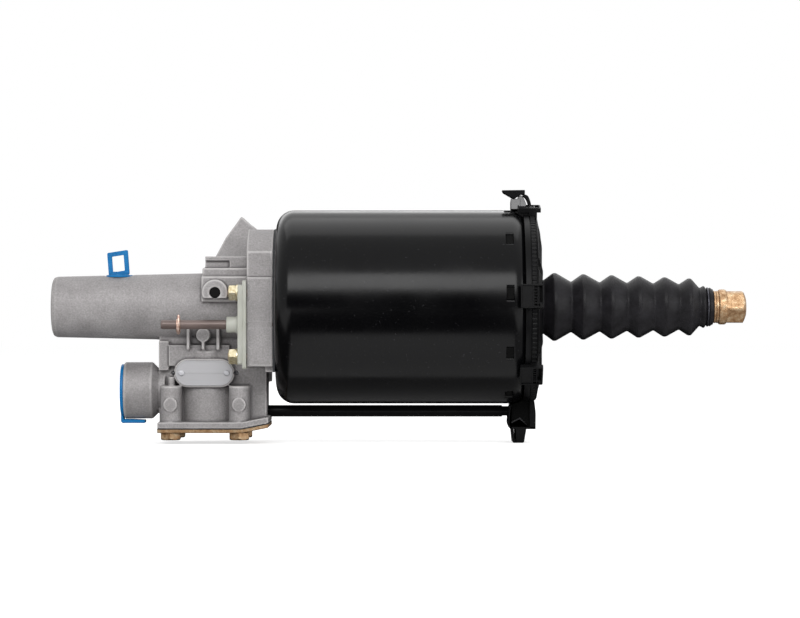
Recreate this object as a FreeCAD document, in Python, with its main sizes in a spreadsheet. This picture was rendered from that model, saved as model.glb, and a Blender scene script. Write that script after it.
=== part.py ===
"""Clutch servo: a hydraulic slave cylinder helped by a compressed-air cylinder.

The model is built about the push rod's axis, with X = 0 where the air cylinder meets the
housing, +X towards the push rod's tip and +Z up. Every piece then gets the same placement,
which puts the origin at the centre of the two mounting holes, on the mounting face.
"""
import FreeCAD, Part
import os
import re

import Sketcher

Vector = FreeCAD.Vector
doc = FreeCAD.newDocument("clutch_servo")
sheet = doc.addObject("Spreadsheet::Sheet", "Sizes")

SIZES = [
    # Mounting
    ("face_offset", 25, "mounting holes to the cylinder's joint face, along X"),
    ("axis_offset", 62, "push rod's axis to the mounting face"),
    ("mount_spacing", 80, "between the two mounting holes"),
    ("mount_hole_radius", 5.1, "tapped hole, wall radius"),
    ("mount_hole_depth", 16, "tapped hole"),
    ("mount_boss_floor", 4, "metal under the tapped hole"),
    ("mount_boss_wall", 5, "metal round the tapped hole"),
    # Working amounts of the model
    ("joint_sink", 1, "how far joined solids run into each other"),
    ("deep_sink", 2, "the same, where a slope or a round needs more"),
    ("thin_sink", 0.1, "the same, in thin pieces"),
    ("cut_reach", 1, "how far a cut runs past the face that it starts from"),
    ("hole_extra", 2, "blind holes deeper than what they take"),
    ("end_gap", 0.2, "play at the closed end of a fit"),
    ("seal_play", 0.1, "side play of a seal in its groove"),
    ("seal_gap", 0.02, "seals and rings to the face that they run on"),
    # Mounting plate and its ribs
    ("pad_thickness", 12, "mounting plate of the casting"),
    ("pad_half_width", 22, "mounting plate either side of its holes"),
    ("pad_low", 54, "mounting plate's lower edge below the axis"),
    ("web_thickness", 8, "ribs that carry the mounting plate"),
    ("web_middle", 14, "lower face of the middle rib below the axis"),
    ("web_upper", 12, "lower face of the upper rib below the neck's top"),
    ("web_inset", 2, "ribs inside the mounting plate's edge"),
    ("plate_corner_drop", 1, "plate's right corner below the flange's top"),
    ("web_root", 6, "ribs' roots inside the neck's back"),
    ("left_web_drop", 4, "top of the left rib below the neck's top"),
    ("curved_web_root", 10, "curved web's root inside the neck's back"),
    ("curved_web_foot", 6, "curved web's foot below the neck's top"),
    ("web_hollow_radius", 34, "hollow that curves the web"),
    ("web_hollow_reach", 30, "hollow, either side of the mounting holes"),
    ("web_hollow_y", 18, "hollow's axis before the neck's back"),
    ("web_hollow_rise", 29, "hollow's axis above the neck's top"),
    ("link_low", 4, "link from flange to plate, above the flange's bottom"),
    ("link_high", 8, "the same link, above the flange's step"),
    # Hydraulic cylinder of the casting
    ("slave_length", 152.9, "closed end to the joint face"),
    ("slave_end_radius", 20.7, "outside, at the closed end"),
    ("slave_root_radius", 24, "outside, at the flange, grown by the draft"),
    ("slave_end_round", 3, "rounding of the closed end"),
    ("round_share", 0.3, "middle of that rounding, as a share of it"),
    ("slave_draft", 1, "growth of the radius between neck and flange"),
    ("slave_bore", 12.7, "hydraulic bore, radius"),
    ("slave_floor", 7, "wall behind the bore"),
    ("bore_clearance", 0.05, "running clearance of pistons and rods, on the radius"),
    ("seat_clearance", 0.05, "clearance of pieces that sit in a bore, on the radius"),
    # Neck and flange of the casting
    ("neck_left", 50.3, "left face of the neck, before the joint face"),
    ("neck_depth", 26, "neck, to the front of the axis"),
    ("neck_low", 3.5, "underside of the neck's block above the axis"),
    ("neck_top", 20.7, "first step above the axis"),
    ("ledge_top", 26.4, "second step"),
    ("ledge_inset", 0.6, "second step's left face inside the first"),
    ("ledge_set_back", 4, "each step's front behind the one below"),
    ("crown_top", 34.3, "top of the neck"),
    ("crown_left", 48.1, "left face of the upper neck"),
    ("notch_right", 31.5, "end of the notch in the upper neck"),
    ("notch_depth", 11, "notch, from the neck's front"),
    ("notch_roof", 2.7, "metal over the notch"),
    ("flange_thickness", 17.5, "housing flange"),
    ("flange_radius", 53.8, "round part of the flange"),
    ("flange_front", 41.5, "flat front of the flange, before the axis"),
    ("flange_top", 52.7, "flat top"),
    ("flange_low", 40, "flat bottom"),
    ("flange_step", 20, "height of the step on its front"),
    ("flange_set_back", 2.5, "depth of that step"),
    ("flange_strip_drop", 3.8, "strip under the flange"),
    ("flange_strip_inset", 6, "that strip inside the flange's sides"),
    ("spigot_radius", 20.5, "centring spigot"),
    ("spigot_length", 3.5, "into the air cylinder"),
    ("gasket_thickness", 1.4, "between flange and air cylinder"),
    ("gasket_margin", 0.6, "gasket inside the flange's outline"),
    ("gasket_gap", 0.1, "gasket to the spigot, on the radius"),
    # Studs that hold the air cylinder
    ("stud_front", 37.5, "front studs before the axis"),
    ("stud_back", 35.5, "back studs behind the axis"),
    ("stud_high", 9.4, "upper studs above the axis"),
    ("stud_low", 33.4, "lower studs below the axis"),
    ("stud_radius", 3, "stud"),
    ("stud_length", 33.5, "from the inner wall of the air cylinder"),
    ("stud_head_radius", 3.9, "welded head"),
    ("stud_head_height", 2.5, "welded head"),
    ("stud_hole", 3.3, "hole radius"),
    ("spot_face_radius", 6, "faced seat in the flange"),
    ("spot_face_depth", 1.9, "faced seat in the flange"),
    ("spot_face_reach", 4, "its cut before the flange"),
    ("nut_across_flats", 10, "stud nuts"),
    ("nut_height", 5, "stud nuts"),
    ("washer_radius", 5.6, "stud washers"),
    ("washer_thickness", 1.2, "stud washers"),
    # Valve body of the casting
    ("valve_x", 47.75, "valve axis before the joint face"),
    ("block_left", 79.7, "left wall before the joint face"),
    ("block_right", 6.6, "right wall before the joint face"),
    ("block_front", 10, "front wall before the axis"),
    ("block_back", 29, "back wall behind the axis"),
    ("block_top", 10, "its top below the axis, inside the slave cylinder"),
    ("wall_sink", 4, "how far round parts run into the block"),
    ("barrel_radius", 18.4, "outside of the valve barrel"),
    ("shoulder_low", 36, "lower edge of the barrel's shoulder"),
    ("shoulder_high", 26, "upper edge of the barrel's shoulder"),
    ("shoulder_left", 25, "shoulder before the valve axis"),
    ("shoulder_right", 16, "shoulder beyond the valve axis"),
    ("shoulder_set_back", 1.6, "shoulder's front behind the barrel's"),
    ("left_strip_width", 6.7, "strip on the left wall"),
    ("left_strip_depth", 5, "that strip before the front wall"),
    ("left_strip_low", 1.8, "its bottom above the name plate's middle"),
    ("left_strip_high", 3, "its top above the shoulder"),
    ("base_top", 77.8, "upper face of the base flange below the axis"),
    ("base_bottom", 82.1, "lower face of the base flange below the axis"),
    ("base_half_depth", 31, "base flange before and behind the axis"),
    ("base_right", 4.7, "right end of the base flange"),
    ("base_bend", 23, "where its right end starts to rise"),
    ("base_rise", 3.6, "rise of its right end"),
    ("bolt_spread", 46.3, "between the cover plate's bolts"),
    ("boss_radius", 6.9, "bolt bosses"),
    ("boss_top", 53.4, "top of the bosses below the axis"),
    ("boss_pocket_radius", 4.3, "hollow in the top of a boss"),
    ("boss_pocket_depth", 4, "hollow in the top of a boss"),
    ("boss_pocket_shift", 0.8, "hollow before the boss's axis"),
    ("pin_boss_radius", 2.15, "small boss behind the left bolt boss"),
    ("pin_boss_height", 5.9, "small boss above the bolt boss"),
    ("pin_boss_set_back", 6, "small boss behind the bolt boss's axis"),
    ("plate_pad_front", 20.5, "pad of the name plate before the axis"),
    ("plate_z", 44.8, "name plate below the axis"),
    ("plate_x", 48.6, "name plate before the joint face"),
    ("plate_length", 38.6, "name plate"),
    ("plate_width", 17, "name plate"),
    ("plate_thickness", 0.8, "name plate"),
    ("plate_margin", 1.2, "pad round the name plate"),
    ("rivet_spread", 30.6, "between the rivets"),
    ("rivet_radius", 1.2, "rivet shank"),
    ("rivet_head_radius", 2, "rivet head"),
    ("rivet_head_height", 0.7, "rivet head"),
    ("rivet_length", 4, "rivet shank"),
    ("ball_radius", 1.5, "sealing balls"),
    ("ball_spread", 42.6, "between the sealing balls"),
    ("ball_depth", 1.2, "balls' seats behind the front wall"),
    ("ball_way", 11, "way in to the balls, before the front wall"),
    ("rib_thickness", 2, "thin ribs above the valve"),
    ("rib_spread", 20.2, "between the thin ribs"),
    ("rib_front", 25.6, "front of the thin ribs before the axis"),
    ("rib_top", 12, "top of the thin ribs below the axis"),
    ("rib_sink", 3, "thin ribs' feet below the shoulder's top"),
    ("rib_shift", 1.35, "their middle before the valve axis"),
    ("key_z", 19, "round mark between the ribs, below the axis"),
    ("key_stem", 2, "width of the mark's stem"),
    ("key_set_back", 0.8, "mark behind the ribs' front"),
    ("mark_radius", 4.7, "round ejector marks"),
    ("mark_z", 66, "ejector marks on the bosses below the axis"),
    ("mark_height", 0.4, "ejector marks"),
    # Supply port
    ("supply_z", 57, "port axis below the push rod's axis"),
    ("supply_radius", 19.3, "outside of the port barrel"),
    ("supply_neck_radius", 14.9, "its narrow end"),
    ("supply_end", 104, "open end before the joint face"),
    ("supply_cone_left", 84.8, "start of its cone"),
    ("supply_cone_right", 80.4, "end of its cone"),
    ("supply_bore", 11, "port, wall radius"),
    ("supply_bore_depth", 17, "port"),
    ("supply_passage", 6, "drilling from port to valve, radius"),
    ("supply_passage_end", 9, "its end before the relay bore"),
    ("supply_drop", 16, "drilling down to the seat, below the port's axis"),
    ("supply_drop_x", 4, "that drilling before the seat's bore"),
    ("port_edge", 0.8, "chamfer of the port's mouth"),
    ("cap_radius", 17.9, "transit cap"),
    ("cap_thickness", 2.2, "transit cap"),
    ("cap_plug_length", 12, "its plug, inside the port"),
    ("cap_wall", 1.8, "its plug, wall"),
    ("tab_length", 16.5, "pull tab under the barrel"),
    ("tab_width", 12, "pull tab"),
    ("tab_thickness", 2.6, "pull tab"),
    ("tab_gap", 0.3, "pull tab to the barrel"),
    # Hydraulic port
    ("feed_x", 107.5, "port axis before the joint face"),
    ("feed_bore", 5, "port, wall radius"),
    ("feed_face", 20.3, "faced top of the port above the axis"),
    ("feed_face_radius", 9.6, "faced top of the port"),
    ("feed_cut_reach", 10, "cuts of the port above the cylinder"),
    ("feed_root", 3, "port's drilling into the hydraulic bore"),
    ("plug_radius", 9.2, "transit plug's disc"),
    ("plug_thickness", 2, "transit plug's disc"),
    ("plug_depth", 6, "transit plug's stem"),
    ("loop_width", 15.6, "pull loop"),
    ("loop_height", 17.5, "pull loop"),
    ("loop_bar", 2.7, "bar of the pull loop"),
    ("loop_lean", 9, "lean of the pull loop, degrees"),
    ("loop_depth", 3, "pull loop, front to back"),
    ("loop_sink", 0.6, "pull loop into its disc"),
    ("loop_foot_left", 0.5, "loop's foot inside its left side"),
    ("loop_foot_right", 1, "loop's foot inside its right side"),
    ("loop_foot_height", 2.4, "loop's foot above the disc"),
    # Front port
    ("front_port_x", 40.55, "port before the joint face"),
    ("front_port_z", 9.7, "port above the axis"),
    ("front_port_radius", 8.75, "boss"),
    ("front_port_flat", 3.8, "flat of the boss below the port's centre"),
    ("front_port_face", 35, "face of the boss before the axis"),
    ("front_port_bore", 3.75, "wall radius"),
    ("front_port_depth", 12, "depth"),
    # Relay valve, along Z
    ("valve_bore", 13, "bore of the seat insert"),
    ("valve_bore_top", 62, "its top below the axis"),
    ("relay_bore", 9, "bore of the relay piston's disc"),
    ("relay_bore_top", 40, "its top below the axis"),
    ("pilot_bore", 6, "bore of the relay piston's pilot"),
    ("pilot_bore_top", 27, "its top below the axis"),
    ("pilot_passage", 1.5, "drilling up to the hydraulic bore"),
    ("relay_neck", 6, "relay piston, between pilot and disc"),
    ("relay_disc", 4, "thickness of its disc"),
    ("pilot_length", 9, "its pilot"),
    ("relay_stem_radius", 3, "its stem"),
    ("relay_rise", 1, "free way above the relay piston"),
    ("relay_groove", 3, "its seal groove below its top"),
    ("relay_groove_width", 2, "seal groove"),
    ("relay_groove_depth", 1.2, "seal groove"),
    ("seat_hole", 5, "hole in the seat insert"),
    ("seat_wall", 4, "floor of the seat insert"),
    ("insert_wall", 3, "wall of the seat insert"),
    ("insert_step", 1, "lower end of the insert inside its bore"),
    ("seat_inlet", 4, "cross drilling of the insert, radius"),
    ("seat_inlet_drop", 4, "that drilling below the inlet valve"),
    ("valve_gap", 0.1, "shut valve to its seat"),
    ("poppet_radius", 7, "inlet valve"),
    ("poppet_thickness", 3, "inlet valve"),
    ("poppet_stem_radius", 2.5, "inlet valve's stem"),
    ("poppet_stem", 7, "length of that stem"),
    ("poppet_edge", 0.5, "chamfer of the inlet valve"),
    ("spring_plate_thickness", 1.5, "spring plate"),
    ("valve_spring_wire", 0.8, "springs of the relay valve, wire radius"),
    ("valve_spring_turns", 3, "springs of the relay valve"),
    ("relay_spring_inset", 2.2, "relay spring inside the relay bore"),
    ("inlet_spring_gap", 2.5, "inlet spring round the valve's stem"),
    ("chamber_rise", 8, "cross drilling above the seat insert"),
    ("breather_start", 5, "breather drilling beyond the valve axis"),
    ("air_passage", 3, "drilling from valve to air cylinder, radius"),
    ("air_passage_z", 33, "that drilling below the axis, at the flange"),
    ("air_riser_x", 14, "its rising stretch before the joint face"),
    # Cover plate under the valve
    ("cover_gasket", 0.5, "gasket under the base flange"),
    ("cover_thickness", 2.5, "cover plate"),
    ("bolt_radius", 4, "bolts"),
    ("bolt_across_flats", 13, "bolt heads"),
    ("bolt_head_height", 5, "bolt heads"),
    ("bolt_depth", 16, "bolts in the casting"),
    ("bolt_gap", 0.3, "bolts in plate and gasket, on the radius"),
    ("head_ball", 1.05, "ball that rounds a bolt head, radius in widths across flats"),
    ("head_ball_rise", 0.9, "its centre above the head's face, in the same measure"),
    # Wear indicator
    ("wear_z", 11.9, "indicator rod below the axis"),
    ("wear_radius", 3.1, "indicator rod"),
    ("wear_left", 76.6, "its end before the joint face"),
    ("wear_right", 4, "its end inside the air cylinder"),
    ("wear_edge", 0.5, "chamfers of its ends"),
    ("wear_gap", 0.4, "its holes, on the radius"),
    ("ring_x", 64.8, "friction ring before the joint face"),
    ("ring_section", 1.5, "friction ring"),
    ("ring_height", 2.3, "friction ring beyond the rod, in sections"),
    ("bracket_boss_radius", 5.4, "guide boss of the bracket"),
    ("bracket_boss_left", 32.5, "its end before the joint face"),
    ("bracket_block", 3.1, "thick part of the bracket"),
    ("bracket_flange", 2.8, "thin part of the bracket"),
    ("bracket_front", 46, "front edge before the axis"),
    ("bracket_gap", 3.5, "back edge before the neck's front"),
    ("bracket_top", 17.9, "top above the axis"),
    ("bracket_low", 41.7, "bottom below the axis"),
    ("bracket_step", 2.9, "thick part short of the thin part"),
    ("bracket_inset", 1, "thick part's front behind the thin part's"),
    # Air cylinder
    ("can_radius", 66, "outside"),
    ("can_wall", 2, "sheet"),
    ("can_length", 171, "joint face to rim"),
    ("can_round", 12, "rounding of its closed end"),
    ("can_hole", 20.6, "hole for the spigot, radius"),
    ("rim_round", 12, "rounding of its rolled-in end"),
    ("rim_lap", 12.5, "width of its rolled-in end"),
    ("window_inset", 13.5, "latch windows' centres from the rim"),
    ("window_length", 5, "latch windows, along X"),
    ("window_width", 8.5, "latch windows, round the rim"),
    ("window_reach", 5, "cut of the windows either side of the wall"),
    ("window_phase", 8, "first window above the front, degrees"),
    # End cover
    ("cover_wall", 3, "moulded wall"),
    ("cover_gap", 0.2, "skirt to the can's opening"),
    ("cover_seat", 0.1, "lip to the can's rim"),
    ("cover_skirt", 12, "skirt inside the air cylinder"),
    ("cover_rise", 9.6, "dome beyond the rim"),
    ("cover_lip", 3, "lip on the rim"),
    ("lip_inset", 1, "lip inside the can's outside"),
    ("lip_slope", 1.8, "slope beyond the lip"),
    ("lip_drop", 0.7, "fall of the radius on that slope"),
    ("shoulder_drop", 0.7, "dome's shoulder below its flat"),
    ("cover_shoulder_radius", 52.7, "where the dome flattens"),
    ("cover_neck_radius", 16.6, "neck for the boot"),
    ("cover_neck_length", 8, "neck for the boot"),
    ("cover_neck_foot", 4, "slope round the neck's foot"),
    ("cover_neck_groove", 1.2, "groove behind the neck's bead"),
    ("cover_bead", 3, "bead at the neck's end"),
    ("cover_bead_slope", 1, "slopes of that bead"),
    ("cover_guide_length", 8, "guide for the push rod, inside the dome"),
    ("cover_bore", 10.5, "hole for the push rod, radius"),
    ("cover_rib_count", 12, "radial ribs"),
    ("cover_rib_thickness", 2.4, "radial ribs"),
    ("cover_rib_height", 1, "radial ribs"),
    ("cover_rib_inner", 5, "ribs' inner ends from the neck"),
    ("cover_rib_outer", 4, "ribs' outer ends from the shoulder"),
    ("latch_width", 16, "latches on the rim, round it"),
    ("latch_length", 15.4, "latches on the rim, along X"),
    ("latch_height", 3.4, "latches, beyond the rim's radius"),
    ("latch_gap", 0.3, "latches to the can"),
    ("latch_overhang", 5.6, "latches beyond the lip"),
    ("latch_root", 3, "latches' roots beyond the lip"),
    ("latch_root_depth", 8, "latches' roots inside the can's radius"),
    ("root_gap", 0.4, "moulded roots to the can"),
    ("hook_width", 12, "hook on the top"),
    ("foot_left", 11.6, "foot's left side before the rim"),
    ("foot_length", 9.6, "foot"),
    ("foot_low", 92.5, "foot's sole below the axis"),
    ("foot_taper", 1.5, "foot's sole inside its root, each side"),
    ("socket_low", 84.1, "pipe socket's bottom below the axis"),
    ("socket_left", 13.7, "pipe socket's mouth before the rim"),
    ("socket_right", 5.5, "pipe socket's end beyond the rim"),
    ("socket_front", 10, "pipe socket before the axis"),
    ("socket_back", 24, "pipe socket behind the axis"),
    ("socket_bevel", 3, "its lower left bevel, along X"),
    ("socket_bevel_height", 5, "its lower left bevel, along Z"),
    ("socket_root", 10, "its root inside the can's radius"),
    ("socket_floor", 0.5, "its drilling's end before the rim"),
    ("sleeve_length", 5, "sleeve round the pipe, before the socket"),
    ("sleeve_wall", 0.9, "that sleeve"),
    # Breather pipe
    ("pipe_radius", 4.2, "outside"),
    ("pipe_wall", 1.2, "wall"),
    ("pipe_y", 12, "behind the axis"),
    ("pipe_drop", 4.6, "its axis below the air cylinder"),
    ("pipe_insert", 11, "length inside each socket"),
    ("pipe_seal", 1.3, "thickness of its seal rings"),
    ("pipe_seal_width", 2.5, "width of its seal rings"),
    # Piston rod and pistons, at rest against the guide bush
    ("rod_radius", 9, "piston rod"),
    ("head_length", 26, "hydraulic piston"),
    ("head_edge", 1, "its chamfer"),
    ("seal_first", 4, "its first seal groove, from its left end"),
    ("seal_second", 16, "its second seal groove, from its left end"),
    ("seal_groove", 3, "depth of its seal grooves"),
    ("seal_width", 4, "width of its seals"),
    ("bush_radius", 16, "guide bush"),
    ("bush_length", 34, "guide bush"),
    ("bush_recess", 5.5, "its right end before the joint face"),
    ("bush_groove", 8, "its O-ring's groove, from its left end"),
    ("bush_groove_width", 3, "that groove"),
    ("bush_groove_depth", 2, "that groove"),
    ("rod_seal_depth", 6, "rod seal's seat, along X"),
    ("rod_seal_width", 4, "rod seal's seat, on the radius"),
    ("rod_seal_recess", 0.3, "rod seal short of its seat"),
    ("rod_seal_lip", 2.5, "its lip, along X"),
    ("rod_seal_lip_height", 2.4, "its lip, on the radius"),
    ("piston_gap", 33, "disc of the air piston before the can's rim"),
    ("piston_disc", 4, "its disc"),
    ("piston_rim", 20, "its rim along X"),
    ("piston_wall", 3.5, "its rim's wall"),
    ("piston_edge", 3, "its rim's ends to their grooves"),
    ("piston_draft", 2, "its disc's corner inside the rim's wall"),
    ("piston_hub_radius", 15, "its hub"),
    ("piston_hub_length", 14, "its hub"),
    ("piston_hub_left", 6, "its hub, left of the disc"),
    ("piston_hub_draft", 1, "its hub, slimmer at the right"),
    ("lip_width", 5, "lip seal"),
    ("lip_depth", 2.4, "groove of the lip seal"),
    ("lip_edge", 1.1, "lip seal's edge, along X"),
    ("lip_fall", 2.3, "end of its slope, along X"),
    ("lip_foot", 1.1, "its foot, on the radius"),
    ("guide_width", 4, "guide ring"),
    ("guide_depth", 1.2, "groove of the guide ring"),
    ("clip_thickness", 1.6, "retaining rings"),
    ("clip_depth", 1.4, "grooves of the retaining rings"),
    ("clip_width", 3, "bush's retaining ring, on the radius"),
    ("clip_inset", 3, "piston's retaining ring before the rod's end"),
    ("clip_height", 2.4, "piston's retaining ring beyond the rod"),
    ("spring_radius", 30, "preload spring, middle of the wire"),
    ("spring_wire", 2, "preload spring, wire radius"),
    ("spring_turns", 6, "preload spring"),
    ("spring_gap", 0.3, "springs to the faces that they press on"),
    # Push rod, boot and nut
    ("push_radius", 7.6, "push rod"),
    ("push_seat", 9, "its end's depth in the piston rod"),
    ("push_gap", 0.3, "its end to the seat's floor"),
    ("seat_mouth", 6.6, "the seat's mouth, radius"),
    ("seat_floor", 4, "the seat's floor, radius"),
    ("push_end_radius", 3.6, "its end"),
    ("push_neck_radius", 6, "its neck"),
    ("push_neck_left", 0.6, "its neck, inside the piston rod"),
    ("push_neck_right", 2, "its neck, beyond the piston rod"),
    ("push_shoulder", 5, "its full radius, beyond the piston rod"),
    ("cuff_groove_depth", 1.2, "groove under the boot's cuff"),
    ("cuff_groove_left", 1, "groove before the cuff"),
    ("cuff_groove_right", 3, "groove's end in the cuff"),
    ("thread_short", 3, "thread's end before the hexagon's"),
    ("thread_radius", 5, "threaded end"),
    ("boot_gap", 0.4, "boot's wide end to the cover's dome"),
    ("boot_length", 117, "boot, from end to end"),
    ("boot_wall", 1.5, "rubber"),
    ("boot_valley", 17.9, "first valley, radius"),
    ("boot_peak", 23.2, "first fold, radius"),
    ("boot_pitch", 20, "first fold"),
    ("boot_taper", 0.962, "each fold's pitch to the one before"),
    ("boot_valley_drop", 0.42, "each valley below the one before"),
    ("boot_lip", 0.6, "wide end beyond the valleys' radius"),
    ("fold_rise", 0.32, "start of a fold's crown, in pitches"),
    ("fold_crown", 0.44, "its highest place, in pitches"),
    ("fold_fall", 0.56, "end of its crown, in pitches"),
    ("fold_round", 0.55, "crown's ends below its highest place"),
    ("valley_half", 0.05, "half a valley's flat, in pitches"),
    ("boot_peak_drop", 0.72, "each fold below the one before"),
    ("boot_cuff_radius", 12.3, "small end"),
    ("boot_cuff_length", 6.5, "small end"),
    ("cuff_lead", 1.5, "start of the cuff's bead before it"),
    ("cuff_lead_rise", 1, "radius there beyond the cuff's"),
    ("cuff_bead", 0.5, "top of the bead inside the cuff"),
    ("cuff_bead_rise", 2.1, "top of the bead beyond the cuff's radius"),
    ("cuff_seat", 2, "end of the bead inside the cuff"),
    ("cuff_seat_rise", 0.6, "radius there beyond the cuff's"),
    ("boot_neck_gap", 0.5, "boot's hollow beyond the cover's neck"),
    ("boot_hollow_end", 3, "boot's hollow before the cuff"),
    ("wire_inset", 2.6, "wire ring before the boot's small end"),
    ("wire_width", 1, "wire ring, along X"),
    ("wire_gap", 0.75, "wire ring beyond the cuff's radius"),
    ("wire_height", 0.95, "wire ring, on the radius"),
    ("washer_pair", 3.6, "thin washers before the nut"),
    ("tip_washer_radius", 11, "thin washers"),
    ("tip_washer_play", 0.2, "thin washers on the thread"),
    ("collar_radius", 12, "round collar of the nut"),
    ("collar_length", 5, "collar of the nut"),
    ("collar_slope", 1.2, "start of the collar's slope before its end"),
    ("collar_run_out", 2, "end of that slope, on the hexagon"),
    ("collar_run_in", 1, "depth of that slope in the hexagon"),
    ("tip_across_flats", 20.7, "hexagon of the nut"),
    ("tip_hexagon", 12, "hexagon of the nut"),
    ("tip_dome", 1.8, "rounded end of the nut"),
    ("tip_corner", 1.2, "bevel of the hexagon's left corners"),
    ("tip_oversize", 0.2, "dome's envelope beyond the hexagon's corners"),
    ("tip_edge", 0.6, "start of the dome before the hexagon's end"),
    ("tip_middle", 0.5, "middle of the dome, as a share of it"),
    ("tip_middle_drop", 1.4, "dome's middle inside the flats"),
    ("tip_flat_drop", 5, "dome's flat end inside the flats"),
    ("tip_floor", 2.8, "thread's end before the hexagon's"),
]

BOOT_FOLDS = 6
LATCH_ANGLES = (6, 80, 130, 186, 225, 315)
WINDOWS = 10

# Upper edge of the curved web: places from the mounting holes, heights above the neck's top
WEB_EDGE = (
    (-18.7, 0.4), (-15.6, 6.9), (-12.1, 13.9), (-5.2, 23.5), (-1.5, 28.8), (4.4, 23.5),
    (11.4, 18.4),
)

# Outline of the top hook: places from the can's rim, heights above the can
HOOK_EDGE = (
    (0.4, -3), (5.5, -3), (5.5, 5), (2.7, 10.6), (-1.4, 13), (-17.8, 14), (-17.8, 11),
    (-12, 8), (-3, 9.5), (0.4, 6),
)

for row, (alias, value, meaning) in enumerate(SIZES, start=1):
    sheet.set(f"A{row}", alias)
    sheet.set(f"B{row}", str(value))
    sheet.set(f"C{row}", meaning)
    sheet.setAlias(f"B{row}", alias)
doc.recompute()
ALIASES = {entry[0] for entry in SIZES}
NODES = {}

# Places that follow from the sizes above, as formulas in the sheet's names
FLANGE_LEFT = "-(gasket_thickness + flange_thickness)"
FLANGE_RIGHT = "-gasket_thickness"
COVER_TOP = "-(base_bottom + cover_gasket)"
COVER_BOTTOM = "-(base_bottom + cover_gasket + cover_thickness)"
PIPE_Z = "-(can_radius + pipe_drop)"
BRACKET_RIGHT = FLANGE_LEFT
BRACKET_BACK = "-(neck_depth + bracket_gap)"
BRACKET_MIDDLE = f"({FLANGE_LEFT} - bracket_flange)"
BRACKET_LEFT = f"({FLANGE_LEFT} - bracket_flange - bracket_block)"
BUSH_LEFT = "-(bush_recess + bush_length)"
HEAD_RIGHT = "-(bush_recess + bush_length + seat_clearance)"
HEAD_LEFT = "-(bush_recess + bush_length + seat_clearance + head_length)"
CAN_BORE = "(can_radius - can_wall)"
RIM_HOLE = "(can_radius - rim_lap)"
DOME = "(can_length + cover_rise)"
PISTON = "(can_length - piston_gap)"
ROD_END = "(can_length - piston_gap + piston_disc + piston_hub_length)"
BOOT_LEFT = "(can_length + cover_rise + boot_gap)"
BOOT_RIGHT = "(can_length + cover_rise + boot_gap + boot_length)"
RELAY_TOP = "-(pilot_bore_top + relay_rise)"
PILOT_LOW = "-(pilot_bore_top + relay_rise + pilot_length)"
DISC_TOP = "-(pilot_bore_top + relay_rise + pilot_length + relay_neck)"
DISC_LOW = "-(pilot_bore_top + relay_rise + pilot_length + relay_neck + relay_disc)"
SEAT_TOP = "-(valve_bore_top + seat_clearance)"
POPPET_TOP = "-(valve_bore_top + seat_clearance + seat_wall + valve_gap)"
POPPET_LOW = "-(valve_bore_top + seat_clearance + seat_wall + valve_gap + poppet_thickness)"
SPRING_PLATE_TOP = "-(base_bottom + cover_gasket - seat_clearance - spring_plate_thickness)"
THROUGH = ("-can_radius", "can_radius")
BASE_THROUGH = ("-base_bottom - can_radius", "-base_bottom + can_radius")
CHAMBER_Z = "-(valve_bore_top - chamber_rise)"


def size(alias):
    """The present value of one driving size."""
    return float(sheet.get(alias))


def formula(text):
    """The same formula with the sheet's name before each of its sizes."""
    return re.sub(
        r"[a-z_][a-z_0-9]*",
        lambda word: f"Sizes.{word.group()}" if word.group() in ALIASES else word.group(),
        str(text),
    )


def bind(item, prop, text):
    """Drive one property by a formula of the sheet's sizes."""
    item.setExpression(prop, formula(text))


def cylinder(name, axis, radius, low, high, across=("0", "0")):
    """A cylinder along one axis from low to high; across gives the other two places."""
    solid = doc.addObject("Part::Cylinder", name)
    bind(solid, "Radius", radius)
    bind(solid, "Height", f"({high}) - ({low})")
    turn = {"X": (Vector(0, 1, 0), 90), "Y": (Vector(1, 0, 0), -90), "Z": (Vector(0, 0, 1), 0)}
    solid.Placement = FreeCAD.Placement(Vector(), FreeCAD.Rotation(*turn[axis]))
    others = [letter for letter in "xyz" if letter != axis.lower()]
    bind(solid, f"Placement.Base.{axis.lower()}", low)
    bind(solid, f"Placement.Base.{others[0]}", across[0])
    bind(solid, f"Placement.Base.{others[1]}", across[1])
    return solid


def box(name, x_range, y_range, z_range):
    """A block between three pairs of places."""
    solid = doc.addObject("Part::Box", name)
    for prop, letter, (low, high) in zip(
        ("Length", "Width", "Height"), "xyz", (x_range, y_range, z_range)
    ):
        bind(solid, prop, f"({high}) - ({low})")
        bind(solid, f"Placement.Base.{letter}", low)
    return solid


def hexagon(name, axis, across_flats, low, high, across=("0", "0")):
    """A hexagonal prism along X, with a corner to the front, or along Z."""
    prism = doc.addObject("Part::Prism", name)
    prism.Polygon = 6
    bind(prism, "Circumradius", f"({across_flats}) / sqrt(3)")
    bind(prism, "Height", f"({high}) - ({low})")
    if axis == "X":
        turn = FreeCAD.Rotation(Vector(0, 1, 0), 90) * FreeCAD.Rotation(Vector(0, 0, 1), 90)
        places = zip("xyz", (low, across[0], across[1]))
    else:
        turn = FreeCAD.Rotation()
        places = zip("xyz", (across[0], across[1], low))
    prism.Placement = FreeCAD.Placement(Vector(), turn)
    for letter, text in places:
        bind(prism, f"Placement.Base.{letter}", text)
    return prism


def fuse(name, pieces):
    """One solid from overlapping pieces."""
    joined = doc.addObject("Part::MultiFuse", name)
    joined.Shapes = pieces
    joined.Refine = True
    return joined


def cut(name, base, tools):
    """A base less one or more tools."""
    taken = doc.addObject("Part::Cut", name)
    taken.Base = base
    taken.Tool = tools[0] if len(tools) == 1 else fuse(f"{name}_tools", tools)
    taken.Refine = True
    return taken


def common(name, first, second):
    """What two solids share."""
    shared = doc.addObject("Part::Common", name)
    shared.Base = first
    shared.Tool = second
    return shared


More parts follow.
